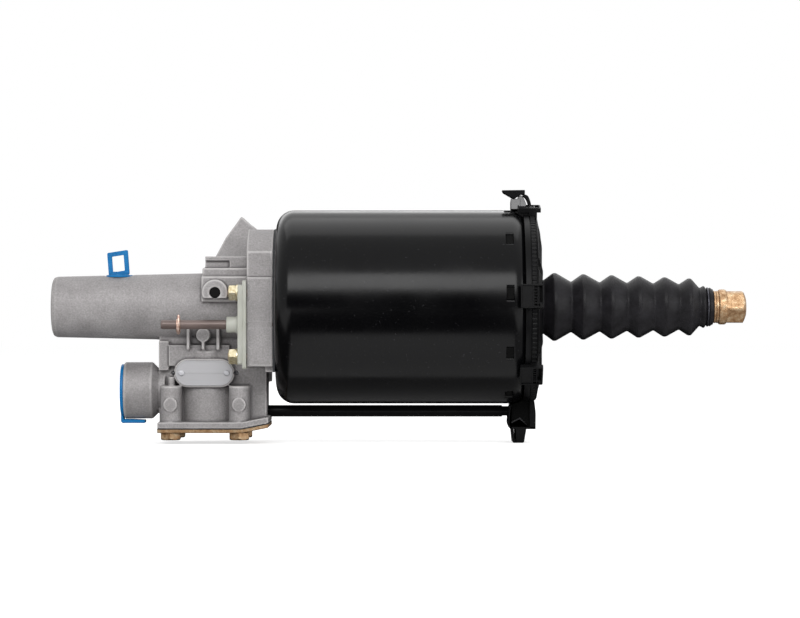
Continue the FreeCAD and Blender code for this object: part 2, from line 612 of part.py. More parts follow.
def draw(sketch, points):
    """Close a polygon through points whose coordinates are formulas, each one a dimension."""
    count = len(points)
    probe = [tuple(sheet_value(text) for text in point) for point in points]
    for start, end in zip(probe, probe[1:] + probe[:1]):
        sketch.addGeometry(Part.LineSegment(Vector(*start, 0), Vector(*end, 0)), False)
    for edge in range(count):
        sketch.addConstraint(Sketcher.Constraint("Coincident", edge, 2, (edge + 1) % count, 1))
    for edge, point in enumerate(points):
        for kind, text, value in zip(("DistanceX", "DistanceY"), point, probe[edge]):
            index = sketch.addConstraint(Sketcher.Constraint(kind, -1, 1, edge, 1, value))
            bind(sketch, f"Constraints[{index}]", text)


def sheet_value(text):
    """A formula's value with the present sizes."""
    words = re.sub(
        r"[a-z_][a-z_0-9]*",
        lambda word: repr(size(word.group())) if word.group() in ALIASES else word.group(),
        str(text),
    )
    return FreeCAD.Units.Quantity(words).Value


def turned(name, points, about="H_Axis"):
    """A turned body: points are places along the axis and radii, about X or, with V_Axis, Z."""
    body = doc.addObject("PartDesign::Body", name)
    sketch = body.newObject("Sketcher::SketchObject", f"{name}_section")
    plane = [item for item in body.Origin.OriginFeatures if item.Role == "XZ_Plane"][0]
    sketch.AttachmentSupport = [(plane, "")]
    sketch.MapMode = "FlatFace"
    if about == "V_Axis":
        points = [(radius, along) for along, radius in points]
    draw(sketch, points)
    spin = body.newObject("PartDesign::Revolution", f"{name}_turned")
    spin.Profile = sketch
    spin.ReferenceAxis = (sketch, [about])
    spin.Angle = 360
    body.Tip = spin
    return body


def rounded(body, radius, choose):
    """Round the edges of a turned body that choose picks out."""
    doc.recompute()
    base = body.Tip
    names = [
        f"Edge{index}"
        for index, edge in enumerate(base.Shape.Edges, start=1)
        if choose(edge)
    ]
    fillet = body.newObject("PartDesign::Fillet", f"{body.Name}_round_{len(body.Group)}")
    fillet.Base = (base, names)
    bind(fillet, "Radius", radius)
    body.Tip = fillet
    return body


def ring_edge(x_place, radius):
    """A test for the circular edge at one place along X with one radius."""
    def chosen(edge):
        curve = edge.Curve
        if not isinstance(curve, Part.Circle):
            return False
        return abs(curve.Radius - radius) < 0.01 and abs(curve.Center.x - x_place) < 0.01
    return chosen


def prism(name, points, low, high):
    """A polygon drawn in X and Z, run along Y from low to high."""
    sketch = doc.addObject("Sketcher::SketchObject", f"{name}_outline")
    sketch.Placement = FreeCAD.Placement(Vector(), FreeCAD.Rotation(Vector(1, 0, 0), 90))
    bind(sketch, "Placement.Base.y", low)
    draw(sketch, points)
    run = doc.addObject("Part::Extrusion", name)
    run.Base = sketch
    run.DirMode = "Custom"
    run.Dir = Vector(0, 1, 0)
    bind(run, "LengthFwd", f"({high}) - ({low})")
    run.Solid = True
    return run


def copies(name, source, places):
    """A group of equal pieces: links to one source at places given as formulas."""
    links = []
    for index, place in enumerate(places):
        link = doc.addObject("App::Link", f"{name}_{index + 1}")
        link.LinkedObject = source
        for letter, text in zip("xyz", place):
            bind(link, f"Placement.Base.{letter}", text)
        links.append(link)
    group = doc.addObject("Part::Compound", f"{name}_group")
    group.Links = links
    return group


def node(name, item, place=("0", "0", "0")):
    """Name a finished piece and put it in the part's frame."""
    item.Label = name
    bind(item, "Placement.Base.x", f"face_offset + ({place[0]})")
    bind(item, "Placement.Base.y", f"({place[1]}) - axis_offset")
    bind(item, "Placement.Base.z", f"0 + ({place[2]})")
    NODES[name] = item
    return item


def flange_plate(name, low, high, margin="0"):
    """The outline of flange and gasket: a disc with flat sides, and a square lower half."""
    disc = cylinder(f"{name}_disc", "X", f"flange_radius - {margin}", low, high)
    upper = box(
        f"{name}_upper",
        (low, high),
        (f"-(flange_front - flange_set_back - {margin})", f"flange_front - {margin}"),
        ("0", f"flange_top - {margin}"),
    )
    lower = box(
        f"{name}_lower",
        (low, high),
        (f"-(flange_front - {margin})", f"flange_front - {margin}"),
        (f"-(flange_low - {margin})", f"flange_step - {margin}"),
    )
    return fuse(name, [common(f"{name}_top", disc, upper), lower])


def stud_places():
    """The four studs, in Y and Z."""
    return [
        (depth, height)
        for depth in ("-stud_front", "stud_back")
        for height in ("stud_high", "-stud_low")
    ]


def bolt_places():
    """The cover plate's four bolts, in X and Y."""
    return [
        (f"-valve_x {along} bolt_spread / 2", f"{across}bolt_spread / 2")
        for along in "-+"
        for across in ("-", "")
    ]


def base_layer(name, top, bottom):
    """A layer that follows the base flange and its rising right end."""
    rise = "base_rise"
    return prism(
        name,
        [
            ("-block_left", bottom),
            ("-base_bend", bottom),
            ("-base_right", f"({bottom}) + {rise}"),
            ("-base_right", f"({top}) + {rise}"),
            ("-base_bend", top),
            ("-block_left", top),
        ],
        "-base_half_depth",
        "base_half_depth",
    )


def slave_cylinder():
    """Drafted outside of the hydraulic cylinder, up to the flange."""
    return turned(
        "slave_outside",
        [
            ("-slave_length", "0"),
            ("-slave_length", "slave_end_radius - slave_end_round"),
            (
                "-slave_length + slave_end_round * round_share",
                "slave_end_radius - slave_end_round * round_share",
            ),
            ("-slave_length + slave_end_round", "slave_end_radius"),
            ("-neck_left", "slave_root_radius - slave_draft"),
            (FLANGE_RIGHT, "slave_root_radius"),
            (FLANGE_RIGHT, "0"),
        ],
    )


def neck_and_flange():
    """The stepped neck, the flange with its centring spigot and the strip below it."""
    right = f"{FLANGE_LEFT} + joint_sink"
    return [
        box("neck", ("-neck_left", right), ("-neck_depth", "neck_depth"), ("neck_low", "neck_top")),
        box(
            "ledge",
            ("-neck_left + ledge_inset", right),
            ("-neck_depth + ledge_set_back", "neck_depth"),
            ("neck_top - deep_sink", "ledge_top"),
        ),
        box(
            "crown",
            ("-crown_left", right),
            ("-neck_depth + 2 * ledge_set_back", "neck_depth"),
            ("ledge_top - deep_sink", "crown_top"),
        ),
        flange_plate("flange", FLANGE_LEFT, FLANGE_RIGHT),
        cylinder("spigot", "X", "spigot_radius", f"{FLANGE_RIGHT} - joint_sink", "spigot_length"),
        box(
            "flange_strip",
            ("-block_right", FLANGE_RIGHT),
            ("-flange_front + flange_strip_inset", "flange_front - flange_strip_inset"),
            ("-flange_low - flange_strip_drop", "-flange_low + joint_sink"),
        ),
    ]


def valve_body():
    """Valve block with its barrel, bosses, name plate pad and base flange."""
    pieces = [
        box(
            "valve_block",
            ("-block_left", "-block_right"),
            ("-block_front", "block_back"),
            ("-base_top - joint_sink", "-block_top"),
        ),
        cylinder("valve_barrel", "Z", "barrel_radius", "-base_top - joint_sink",
                 "-shoulder_high - wall_sink", ("-valve_x", "0")),
        box(
            "barrel_shoulder",
            ("-valve_x - shoulder_left", "-valve_x + shoulder_right"),
            ("-barrel_radius + shoulder_set_back", "0"),
            ("-shoulder_low - wall_sink", "-shoulder_high"),
        ),
        base_layer("base_flange", "-base_top", "-base_bottom"),
        box(
            "plate_pad",
            (
                "-plate_x - (plate_length - plate_width) / 2",
                "-plate_x + (plate_length - plate_width) / 2",
            ),
            ("-plate_pad_front", "0"),
            (
                "-plate_z - plate_width / 2 - plate_margin",
                "-plate_z + plate_width / 2 + plate_margin",
            ),
        ),
        box(
            "left_strip",
            ("-block_left", "-block_left + left_strip_width"),
            ("-block_front - left_strip_depth", "0"),
            ("-plate_z + left_strip_low", "-shoulder_high + left_strip_high"),
        ),
        cylinder("pin_boss", "Z", "pin_boss_radius", "-boss_top - joint_sink",
                 "-boss_top + pin_boss_height",
                 ("-valve_x - bolt_spread / 2", "-bolt_spread / 2 + pin_boss_set_back")),
        box(
            "pin_boss_web",
            (
                "-valve_x - bolt_spread / 2 - pin_boss_radius",
                "-valve_x - bolt_spread / 2 + pin_boss_radius",
            ),
            ("-bolt_spread / 2 + pin_boss_set_back", "0"),
            ("-boss_top - joint_sink", "-boss_top + pin_boss_height"),
        ),
    ]
    for side in "-+":
        pieces.append(
            cylinder(
                f"plate_pad_end_{'left' if side == '-' else 'right'}",
                "Y",
                "plate_width / 2 + plate_margin",
                "-plate_pad_front",
                "0",
                (f"-plate_x {side} (plate_length - plate_width) / 2", "-plate_z"),
            )
        )
    for index, (x_place, y_place) in enumerate(bolt_places(), start=1):
        pieces.append(
            cylinder(f"bolt_boss_{index}", "Z", "boss_radius", "-base_top - joint_sink",
                     "-boss_top", (x_place, y_place))
        )
    for index, side in enumerate("-+", start=1):
        x_place = f"-valve_x {side} bolt_spread / 2"
        pieces.append(
            box(
                f"boss_web_{index}",
                (f"{x_place} - boss_radius", f"{x_place} + boss_radius"),
                ("-bolt_spread / 2", "0"),
                ("-base_top - joint_sink", "-boss_top"),
            )
        )
        pieces.append(
            cylinder(f"boss_mark_{index}", "Y", "mark_radius",
                     "-bolt_spread / 2 - boss_radius - mark_height", "-bolt_spread / 2",
                     (x_place, "-mark_z"))
        )
        pieces.append(
            box(
                f"thin_rib_{index}",
                (
                    f"-valve_x - rib_shift {side} rib_spread / 2 - rib_thickness / 2",
                    f"-valve_x - rib_shift {side} rib_spread / 2 + rib_thickness / 2",
                ),
                ("-rib_front", "0"),
                ("-shoulder_high - rib_sink", "-rib_top"),
            )
        )
    pieces.append(
        cylinder("key_mark", "Y", "mark_radius", "-rib_front + key_set_back", "0",
                 ("-valve_x - rib_shift", "-key_z"))
    )
    pieces.append(
        box(
            "key_stem",
            ("-valve_x - rib_shift - key_stem / 2", "-valve_x - rib_shift + key_stem / 2"),
            ("-rib_front + key_set_back", "0"),
            ("-shoulder_high - rib_sink", "-key_z"),
        )
    )
    return pieces


def supply_barrel():
    """Outside of the supply port."""
    body = turned(
        "supply_outside",
        [
            ("-supply_end", "0"),
            ("-supply_end", "supply_radius - port_edge"),
            ("-supply_end + port_edge", "supply_radius"),
            ("-supply_cone_left", "supply_radius"),
            ("-supply_cone_right", "supply_neck_radius"),
            ("-block_left + wall_sink", "supply_neck_radius"),
            ("-block_left + wall_sink", "0"),
        ],
    )
    bind(body, "Placement.Base.z", "-supply_z")
    return body


def front_port_boss():
    """Round boss with a flat underside."""
    disc = cylinder("front_port_disc", "Y", "front_port_radius", "-front_port_face", "0",
                    ("-front_port_x", "front_port_z"))
    keep = box(
        "front_port_keep",
        (
            "-front_port_x - front_port_radius - cut_reach",
            "-front_port_x + front_port_radius + cut_reach",
        ),
        ("-front_port_face - cut_reach", "cut_reach"),
        ("front_port_z - front_port_flat", "front_port_z + front_port_radius + cut_reach"),
    )
    return common("front_port_boss", disc, keep)


def mounting_plate():
    """The plate with the tapped holes, its ribs and the curved web that shows over the neck."""
    edge = [(f"-face_offset + ({along})", f"crown_top + {height}") for along, height in WEB_EDGE]
    foot = "crown_top - curved_web_foot"
    inner = "axis_offset - pad_thickness + joint_sink"
    outline = [
        ("-face_offset - pad_half_width", "-pad_low"),
        ("-face_offset - pad_half_width", foot),
        *edge,
        ("-face_offset + pad_half_width", "flange_top - plate_corner_drop"),
        ("-face_offset + pad_half_width", "-pad_low"),
    ]
    plate = prism("mounting_plate", outline, "axis_offset - pad_thickness", "axis_offset")
    web_outline = [*edge, (edge[-1][0], foot), (edge[0][0], foot)]
    web = prism("web_blank", web_outline, "neck_depth - curved_web_root", inner)
    hollow = cylinder("web_hollow", "X", "web_hollow_radius", "-face_offset - web_hollow_reach",
                      "-face_offset + web_hollow_reach",
                      ("neck_depth - web_hollow_y", "crown_top + web_hollow_rise"))
    curved = cut("curved_web", web, [hollow])
    reach = ("neck_depth - web_root", inner)
    pieces = [plate, curved]
    pieces.append(
        box(
            "left_web",
            (
                "-face_offset - pad_half_width + web_inset",
                "-face_offset - pad_half_width + web_inset + web_thickness",
            ),
            reach,
            ("-pad_low + web_inset", "crown_top - left_web_drop"),
        )
    )
    pieces.append(
        box(
            "flange_link",
            (FLANGE_LEFT, "-face_offset + pad_half_width"),
            ("flange_front - deep_sink", inner),
            ("-flange_low + link_low", "flange_step + link_high"),
        )
    )
    heights = ("-pad_low + web_inset", "-web_middle", "crown_top - web_upper")
    for index, height in enumerate(heights, start=1):
        pieces.append(
            box(
                f"level_web_{index}",
                (
                    "-face_offset - pad_half_width + web_inset",
                    "-face_offset + pad_half_width - web_inset",
                ),
                reach,
                (height, f"{height} + web_thickness"),
            )
        )
    for index, side in enumerate("-+", start=1):
        pieces.append(
            cylinder(
                f"mount_boss_{index}",
                "Y",
                "mount_hole_radius + mount_boss_wall",
                "axis_offset - mount_hole_depth - mount_boss_floor",
                inner,
                ("-face_offset", f"0 {side} mount_spacing / 2"),
            )
        )
    return pieces


def housing_cuts():
    """Every bore, drilling and recess of the casting."""
    cuts = [
        cylinder("cut_slave_bore", "X", "slave_bore", "-slave_length + slave_floor",
                 f"{BUSH_LEFT} + cut_reach"),
        cylinder("cut_bush_bore", "X", "bush_radius", BUSH_LEFT, "spigot_length + cut_reach"),
        cylinder("cut_feed", "Z", "feed_bore", "slave_bore - feed_root",
                 "slave_end_radius + feed_cut_reach", ("-feed_x", "0")),
        cylinder("cut_feed_face", "Z", "feed_face_radius", "feed_face",
                 "feed_face + feed_cut_reach", ("-feed_x", "0")),
        cylinder("cut_valve_bore", "Z", "valve_bore", "-base_bottom - cut_reach",
                 "-valve_bore_top", ("-valve_x", "0")),
        cylinder("cut_relay_bore", "Z", "relay_bore", "-valve_bore_top - cut_reach",
                 "-relay_bore_top", ("-valve_x", "0")),
        cylinder("cut_pilot_bore", "Z", "pilot_bore", "-relay_bore_top - cut_reach",
                 "-pilot_bore_top", ("-valve_x", "0")),
        cylinder("cut_pilot_passage", "Z", "pilot_passage", "-pilot_bore_top - cut_reach",
                 "-slave_bore + deep_sink", ("-valve_x", "0")),
        cylinder("cut_supply_bore", "X", "supply_bore", "-supply_end - cut_reach",
                 "-supply_end + supply_bore_depth", ("0", "-supply_z")),
        cylinder("cut_supply_passage", "X", "supply_passage",
                 "-supply_end + supply_bore_depth - cut_reach",
                 "-valve_x - relay_bore - supply_passage_end", ("0", "-supply_z")),
        cylinder("cut_supply_drop", "Z", "supply_passage", "-supply_z - supply_drop", "-supply_z",
                 ("-valve_x - valve_bore - supply_drop_x", "0")),
        cylinder("cut_air_passage", "X", "air_passage", "-air_riser_x", "0",
                 ("0", "-air_passage_z")),
        cylinder("cut_air_riser", "Z", "air_passage", CHAMBER_Z, "-air_passage_z",
                 ("-air_riser_x", "0")),
        cylinder("cut_air_chamber", "X", "air_passage", "-valve_x", "-air_riser_x",
                 ("0", CHAMBER_Z)),
        cylinder("cut_front_port", "Y", "front_port_bore", "-front_port_face - cut_reach",
                 "-front_port_face + front_port_depth", ("-front_port_x", "front_port_z")),
        cylinder("cut_wear_hole", "X", "wear_radius + wear_gap", f"{FLANGE_LEFT} - cut_reach",
                 "cut_reach", ("-stud_front", "-wear_z")),
        cylinder("cut_pipe_socket", "X", "pipe_radius + seat_clearance",
                 "-block_right - pipe_insert", "0", ("pipe_y", PIPE_Z)),
        cylinder("cut_pipe_seal", "X", "pipe_radius + pipe_seal + seat_clearance",
                 "-block_right - pipe_insert / 2 - pipe_seal_width / 2",
                 "-block_right - pipe_insert / 2 + pipe_seal_width / 2", ("pipe_y", PIPE_Z)),
        cylinder("cut_breather", "X", "pipe_radius - pipe_wall", "-valve_x + breather_start",
                 "-block_right - pipe_insert + cut_reach", ("pipe_y", PIPE_Z)),
        box(
            "cut_notch",
            ("-neck_left - cut_reach", "-notch_right"),
            ("-neck_depth", "-neck_depth + notch_depth"),
            ("ledge_top", "crown_top - notch_roof"),
        ),
    ]
    for index, (x_place, y_place) in enumerate(bolt_places(), start=1):
        cuts.append(
            cylinder(f"cut_bolt_{index}", "Z", "bolt_radius + bore_clearance",
                     "-base_bottom - cut_reach", "-base_bottom + bolt_depth + hole_extra",
                     (x_place, y_place))
        )
    for index, side in enumerate("-+", start=1):
        cuts.append(
            cylinder(f"cut_boss_pocket_{index}", "Z", "boss_pocket_radius",
                     "-boss_top - boss_pocket_depth", "-boss_top + cut_reach",
                     (f"-valve_x {side} bolt_spread / 2", "-bolt_spread / 2 - boss_pocket_shift"))
        )
        cuts.append(
            cylinder(f"cut_mount_{index}", "Y", "mount_hole_radius",
                     "axis_offset - mount_hole_depth", "axis_offset + cut_reach",
                     ("-face_offset", f"0 {side} mount_spacing / 2"))
        )
        cuts.append(
            cylinder(f"cut_rivet_{index}", "Y", "rivet_radius + seat_clearance",
                     "-plate_pad_front - cut_reach", "-plate_pad_front + rivet_length",
                     (f"-plate_x {side} rivet_spread / 2", "-plate_z"))
        )
        cuts.append(
            cylinder(f"cut_ball_{index}", "Y", "ball_radius + seat_clearance",
                     "-block_front - ball_way", "-block_front + ball_depth",
                     (f"-plate_x {side} ball_spread / 2", "-plate_z"))
        )
    for index, (y_place, z_place) in enumerate(stud_places(), start=1):
        cuts.append(
            cylinder(f"cut_stud_{index}", "X", "stud_hole", f"{FLANGE_LEFT} - cut_reach", "cut_reach",
                     (y_place, z_place))
        )
        cuts.append(
            cylinder(f"cut_spot_face_{index}", "X", "spot_face_radius",
                     f"{FLANGE_LEFT} - spot_face_reach", f"{FLANGE_LEFT} + spot_face_depth",
                     (y_place, z_place))
        )
    return cuts


def make_housing():
    """The die-cast housing in one piece."""
    pieces = [slave_cylinder(), supply_barrel(), front_port_boss()]
    pieces += neck_and_flange() + valve_body() + mounting_plate()
    node("control_housing", cut("housing", fuse("casting", pieces), housing_cuts()))


def make_gaskets():
    """Gaskets of the joint face and of the cover plate."""
    blank = flange_plate("gasket_blank", FLANGE_RIGHT, "0", "gasket_margin")
    holes = [
        cylinder("gasket_bore", "X", "spigot_radius + gasket_gap", *THROUGH),
        cylinder("gasket_air", "X", "air_passage", *THROUGH, ("0", "-air_passage_z")),
        cylinder("gasket_wear", "X", "wear_radius + wear_gap", *THROUGH,
                 ("-stud_front", "-wear_z")),
    ]
    for index, place in enumerate(stud_places(), start=1):
        holes.append(cylinder(f"gasket_stud_{index}", "X", "stud_hole", *THROUGH, place))
    node("joint_gasket", cut("gasket_ring", blank, holes))
    sheet_blank = base_layer("valve_gasket_blank", "-base_bottom", COVER_TOP)
    bore = cylinder("valve_gasket_bore", "Z", "valve_bore - insert_step", *BASE_THROUGH,
                    ("-valve_x", "0"))
    holes = plate_holes("valve_gasket") + [bore]
    node("valve_gasket", cut("valve_gasket_cut", sheet_blank, holes))


def plate_holes(name):
    """Bolt holes through the layers under the valve body."""
    return [
        cylinder(f"{name}_hole_{index}", "Z", "bolt_radius + bolt_gap", *BASE_THROUGH, place)
        for index, place in enumerate(bolt_places(), start=1)
    ]


def make_cover_plate():
    """Zinc-plated plate that closes the valve bore, and its bolts."""
    blank = base_layer("cover_blank", COVER_TOP, COVER_BOTTOM)
    node("valve_cover_plate", cut("cover_plate", blank, plate_holes("cover")))
    head = hexagon("bolt_head_hex", "Z", "bolt_across_flats", f"{COVER_BOTTOM} - bolt_head_height",
                   COVER_BOTTOM)
    dome = doc.addObject("Part::Sphere", "bolt_head_dome")
    bind(dome, "Radius", "bolt_across_flats * head_ball")
    bind(dome, "Placement.Base.z",
         f"{COVER_BOTTOM} - bolt_head_height + bolt_across_flats * head_ball_rise")
    shank = cylinder("bolt_shank", "Z", "bolt_radius", f"{COVER_BOTTOM} - joint_sink",
                     "-base_bottom + bolt_depth")
    bolt = fuse("cover_bolt", [common("bolt_head", head, dome), shank])
    node("cover_bolts", copies("cover_bolt", bolt, [(*place, "0") for place in bolt_places()]))


def make_name_plate():
    """Bare stadium plate, its rivets and the two sealing balls beside it."""
    half = "(plate_length - plate_width) / 2"
    back = "-plate_pad_front"
    front = "-plate_pad_front - plate_thickness"
    blank = [
        box("plate_middle", (f"-plate_x - {half}", f"-plate_x + {half}"), (front, back),
            ("-plate_z - plate_width / 2", "-plate_z + plate_width / 2"))
    ]
    holes = []
    for index, side in enumerate("-+", start=1):
        blank.append(
            cylinder(f"plate_end_{index}", "Y", "plate_width / 2", front, back,
                     (f"-plate_x {side} {half}", "-plate_z"))
        )
        holes.append(
            cylinder(f"plate_hole_{index}", "Y", "rivet_radius + seat_clearance", *THROUGH,
                     (f"-plate_x {side} rivet_spread / 2", "-plate_z"))
        )
    node("name_plate", cut("name_plate_cut", fuse("name_plate_blank", blank), holes))
    shank = cylinder("rivet_shank", "Y", "rivet_radius", f"{front} - thin_sink",
                     "-plate_pad_front + rivet_length - end_gap")
    head = cylinder("rivet_head", "Y", "rivet_head_radius", f"{front} - rivet_head_height", front)
    rivet = fuse("plate_rivet", [shank, head])
    spots = [(f"-plate_x {side} rivet_spread / 2", "0", "-plate_z") for side in "-+"]
    node("plate_rivets", copies("plate_rivet", rivet, spots))
    ball = doc.addObject("Part::Sphere", "sealing_ball")
    bind(ball, "Radius", "ball_radius")
    spots = [
        (f"-plate_x {side} ball_spread / 2", "-block_front + ball_depth - ball_radius", "-plate_z")
        for side in "-+"
    ]
    node("sealing_balls", copies("sealing_ball", ball, spots))


def make_transit_plugs():
    """Blue cap of the supply port and blue plug of the hydraulic port."""
    disc = cylinder("cap_disc", "X", "cap_radius", "-supply_end - cap_thickness", "-supply_end",
                    ("0", "-supply_z"))
    plug = cut(
        "cap_plug",
        cylinder("cap_plug_outside", "X", "supply_bore - seat_clearance",
                 "-supply_end - joint_sink", "-supply_end + cap_plug_length", ("0", "-supply_z")),
        [cylinder("cap_plug_inside", "X", "supply_bore - seat_clearance - cap_wall",
                  "-supply_end", "-supply_end + cap_plug_length + cut_reach", ("0", "-supply_z"))],
    )
    strap = box(
        "cap_strap",
        ("-supply_end - cap_thickness", "-supply_end - cap_thickness + cap_wall"),
        ("-tab_width / 2", "tab_width / 2"),
        ("-supply_z - supply_radius - tab_gap - tab_thickness", "-supply_z"),
    )
    tab = box(
        "cap_tab",
        ("-supply_end - cap_thickness", "-supply_end - cap_thickness + tab_length"),
        ("-tab_width / 2", "tab_width / 2"),
        (
            "-supply_z - supply_radius - tab_gap - tab_thickness",
            "-supply_z - supply_radius - tab_gap",
        ),
    )
    node("supply_port_cap", fuse("supply_cap", [disc, plug, strap, tab]))

    disc = cylinder("plug_disc", "Z", "plug_radius", "feed_face", "feed_face + plug_thickness")
    stem = cylinder("plug_stem", "Z", "feed_bore - seat_clearance", "feed_face - plug_depth",
                    "feed_face + joint_sink")
    depth = ("-loop_depth / 2", "loop_depth / 2")
    outer = box("loop_outer", ("-loop_width / 2", "loop_width / 2"), depth, ("0", "loop_height"))
    inner = box("loop_inner", ("-loop_width / 2 + loop_bar", "loop_width / 2 - loop_bar"),
                THROUGH, ("loop_bar", "loop_height - loop_bar"))
    loop = cut("pull_loop", outer, [inner])
    loop.Placement = FreeCAD.Placement(Vector(), FreeCAD.Rotation(Vector(0, 1, 0), 1))
    bind(loop, "Placement.Rotation.Angle", "-loop_lean")
    bind(loop, "Placement.Base.z",
         "feed_face + plug_thickness - loop_sink + sin(loop_lean) * loop_width / 2")
    foot = box(
        "loop_foot",
        ("-loop_width / 2 + loop_foot_left", "loop_width / 2 - loop_foot_right"),
        depth,
        ("feed_face + plug_thickness / 2", "feed_face + plug_thickness + loop_foot_height"),
    )
    node("hydraulic_port_plug", fuse("feed_plug", [disc, stem, loop, foot]),
         ("-feed_x", "0", "0"))


def make_wear_indicator():
    """Nylon bracket, brown rod and its friction ring."""
    block = box("bracket_thick", (BRACKET_LEFT, BRACKET_RIGHT),
                ("-bracket_front + bracket_inset", BRACKET_BACK),
                ("-bracket_low + bracket_step", "bracket_top - bracket_step"))
    thin = box("bracket_thin", (BRACKET_MIDDLE, BRACKET_RIGHT),
               ("-bracket_front", BRACKET_BACK), ("-bracket_low", "bracket_top"))
    boss = cylinder("bracket_boss", "X", "bracket_boss_radius", "-bracket_boss_left",
                    f"{BRACKET_LEFT} + joint_sink", ("-stud_front", "-wear_z"))
    holes = [cylinder("bracket_guide", "X", "wear_radius + bore_clearance", *THROUGH,
                      ("-stud_front", "-wear_z"))]
    for index, height in enumerate(("stud_high", "-stud_low"), start=1):
        holes.append(cylinder(f"bracket_hole_{index}", "X", "stud_hole", *THROUGH,
                              ("-stud_front", height)))
    node("indicator_bracket", cut("bracket", fuse("bracket_blank", [block, thin, boss]), holes))
    rod = turned(
        "wear_rod",
        [
            ("-wear_left", "0"),
            ("-wear_left", "wear_radius - wear_edge"),
            ("-wear_left + wear_edge", "wear_radius"),
            ("wear_right - wear_edge", "wear_radius"),
            ("wear_right", "wear_radius - wear_edge"),
            ("wear_right", "0"),
        ],
    )
    node("indicator_rod", rod, ("0", "-stud_front", "-wear_z"))
    ring = turned(
        "friction_ring",
        [
            ("-ring_x - ring_section", "wear_radius + ring_section"),
            ("-ring_x - ring_section / 2", "wear_radius"),
            ("-ring_x + ring_section / 2", "wear_radius"),
            ("-ring_x + ring_section", "wear_radius + ring_section"),
            ("-ring_x + ring_section / 2", "wear_radius + ring_section * ring_height"),
            ("-ring_x - ring_section / 2", "wear_radius + ring_section * ring_height"),
        ],
    )
    node("friction_ring", ring, ("0", "-stud_front", "-wear_z"))


def make_studs():
    """Studs welded into the air cylinder, with nuts and washers on the flange's left."""
    shank = cylinder("stud_shank", "X", "stud_radius", "can_wall - stud_length",
                     "can_wall + joint_sink")
    head = cylinder("stud_head", "X", "stud_head_radius", "can_wall",
                    "can_wall + stud_head_height")
    stud = fuse("cylinder_stud", [shank, head])
    node("cylinder_studs", copies("cylinder_stud", stud,
                                  [("0", *place) for place in stud_places()]))
    seats = [
        (BRACKET_LEFT if y_place.startswith("-") else f"({FLANGE_LEFT} + spot_face_depth)",
         y_place, z_place)
        for y_place, z_place in stud_places()
    ]
    washer = cut("stud_washer",
                 cylinder("washer_outside", "X", "washer_radius", "-washer_thickness", "0"),
                 [cylinder("washer_hole", "X", "stud_hole", *THROUGH)])
    node("stud_washers", copies("stud_washer", washer, seats))
    nut = cut("stud_nut",
              hexagon("nut_hex", "X", "nut_across_flats", "-washer_thickness - nut_height",
                      "-washer_thickness"),
              [cylinder("nut_hole", "X", "stud_radius + bore_clearance", *THROUGH)])
    node("stud_nuts", copies("stud_nut", nut, seats))


def make_air_cylinder():
    """Drawn steel can with latch windows near its open rim."""
    can = turned(
        "can",
        [
            ("0", "can_hole"),
            ("0", "can_radius"),
            ("can_length", "can_radius"),
            ("can_length", RIM_HOLE),
            ("can_length - can_wall", RIM_HOLE),
            ("can_length - can_wall", "can_radius - can_wall"),
            ("can_wall", "can_radius - can_wall"),
            ("can_wall", "can_hole"),
        ],
    )
    rounded(can, "can_round - can_wall",
            ring_edge(size("can_wall"), size("can_radius") - size("can_wall")))
    rounded(can, "rim_round - can_wall",
            ring_edge(size("can_length") - size("can_wall"),
                      size("can_radius") - size("can_wall")))
    rounded(can, "can_round", ring_edge(0.0, size("can_radius")))
    rounded(can, "rim_round", ring_edge(size("can_length"), size("can_radius")))
    tools = [
        cylinder("can_wear_hole", "X", "wear_radius + wear_gap", *THROUGH,
                 ("-stud_front", "-wear_z")),
        cylinder("can_air_hole", "X", "air_passage", *THROUGH, ("0", "-air_passage_z")),
    ]
    for index, place in enumerate(stud_places(), start=1):
        tools.append(cylinder(f"can_stud_{index}", "X", "stud_hole", *THROUGH, place))
    for index in range(WINDOWS):
        window = box(
            f"window_{index + 1}",
            ("0", "window_length"),
            ("-can_radius - window_reach", "-can_radius + can_wall + window_reach"),
            ("-window_width / 2", "window_width / 2"),
        )
        bind(window, "Placement.Base.x", "can_length - window_inset - window_length / 2")
        window.Placement.Rotation = FreeCAD.Rotation(Vector(1, 0, 0), 1)
        angle = f"-(window_phase + {index} * 360 / {WINDOWS})"
        bind(window, "Placement.Rotation.Angle", angle)
        reach, half = "(can_radius + window_reach)", "(window_width / 2)"
        bind(window, "Placement.Base.y", f"-{reach} * cos({angle}) + {half} * sin({angle})")
        bind(window, "Placement.Base.z", f"-{reach} * sin({angle}) - {half} * cos({angle})")
        tools.append(window)
    node("air_cylinder", cut("air_can", can, tools))


def cover_body():
    """Turned shape of the end cover: skirt, lip, dome and neck."""
    edge = "can_radius - lip_inset"
    neck = f"{DOME} + cover_neck_length"
    return turned(
        "cover_turned",
        [
            ("can_length - cover_skirt", f"{RIM_HOLE} - cover_wall"),
            ("can_length - cover_skirt", f"{RIM_HOLE} - cover_gap"),
            ("can_length + cover_seat", f"{RIM_HOLE} - cover_gap"),
            ("can_length + cover_seat", edge),
            ("can_length + cover_lip", edge),
            ("can_length + cover_lip + lip_slope", f"{edge} - lip_drop"),
            (f"{DOME} - shoulder_drop", "cover_shoulder_radius"),
            (DOME, "cover_neck_radius + cover_neck_foot"),
            (DOME, "cover_neck_radius - cover_neck_groove"),
            (f"{neck} - cover_bead", "cover_neck_radius - cover_neck_groove"),
            (f"{neck} - cover_bead + cover_bead_slope", "cover_neck_radius"),
            (neck, "cover_neck_radius - cover_bead_slope"),
            (neck, "cover_bore"),
            (f"{DOME} - cover_guide_length", "cover_bore"),
            (f"{DOME} - cover_guide_length", "cover_neck_radius"),
            (f"{DOME} - cover_wall", "cover_neck_radius"),
            (f"{DOME} - cover_wall", f"{RIM_HOLE} - cover_wall"),
        ],
    )


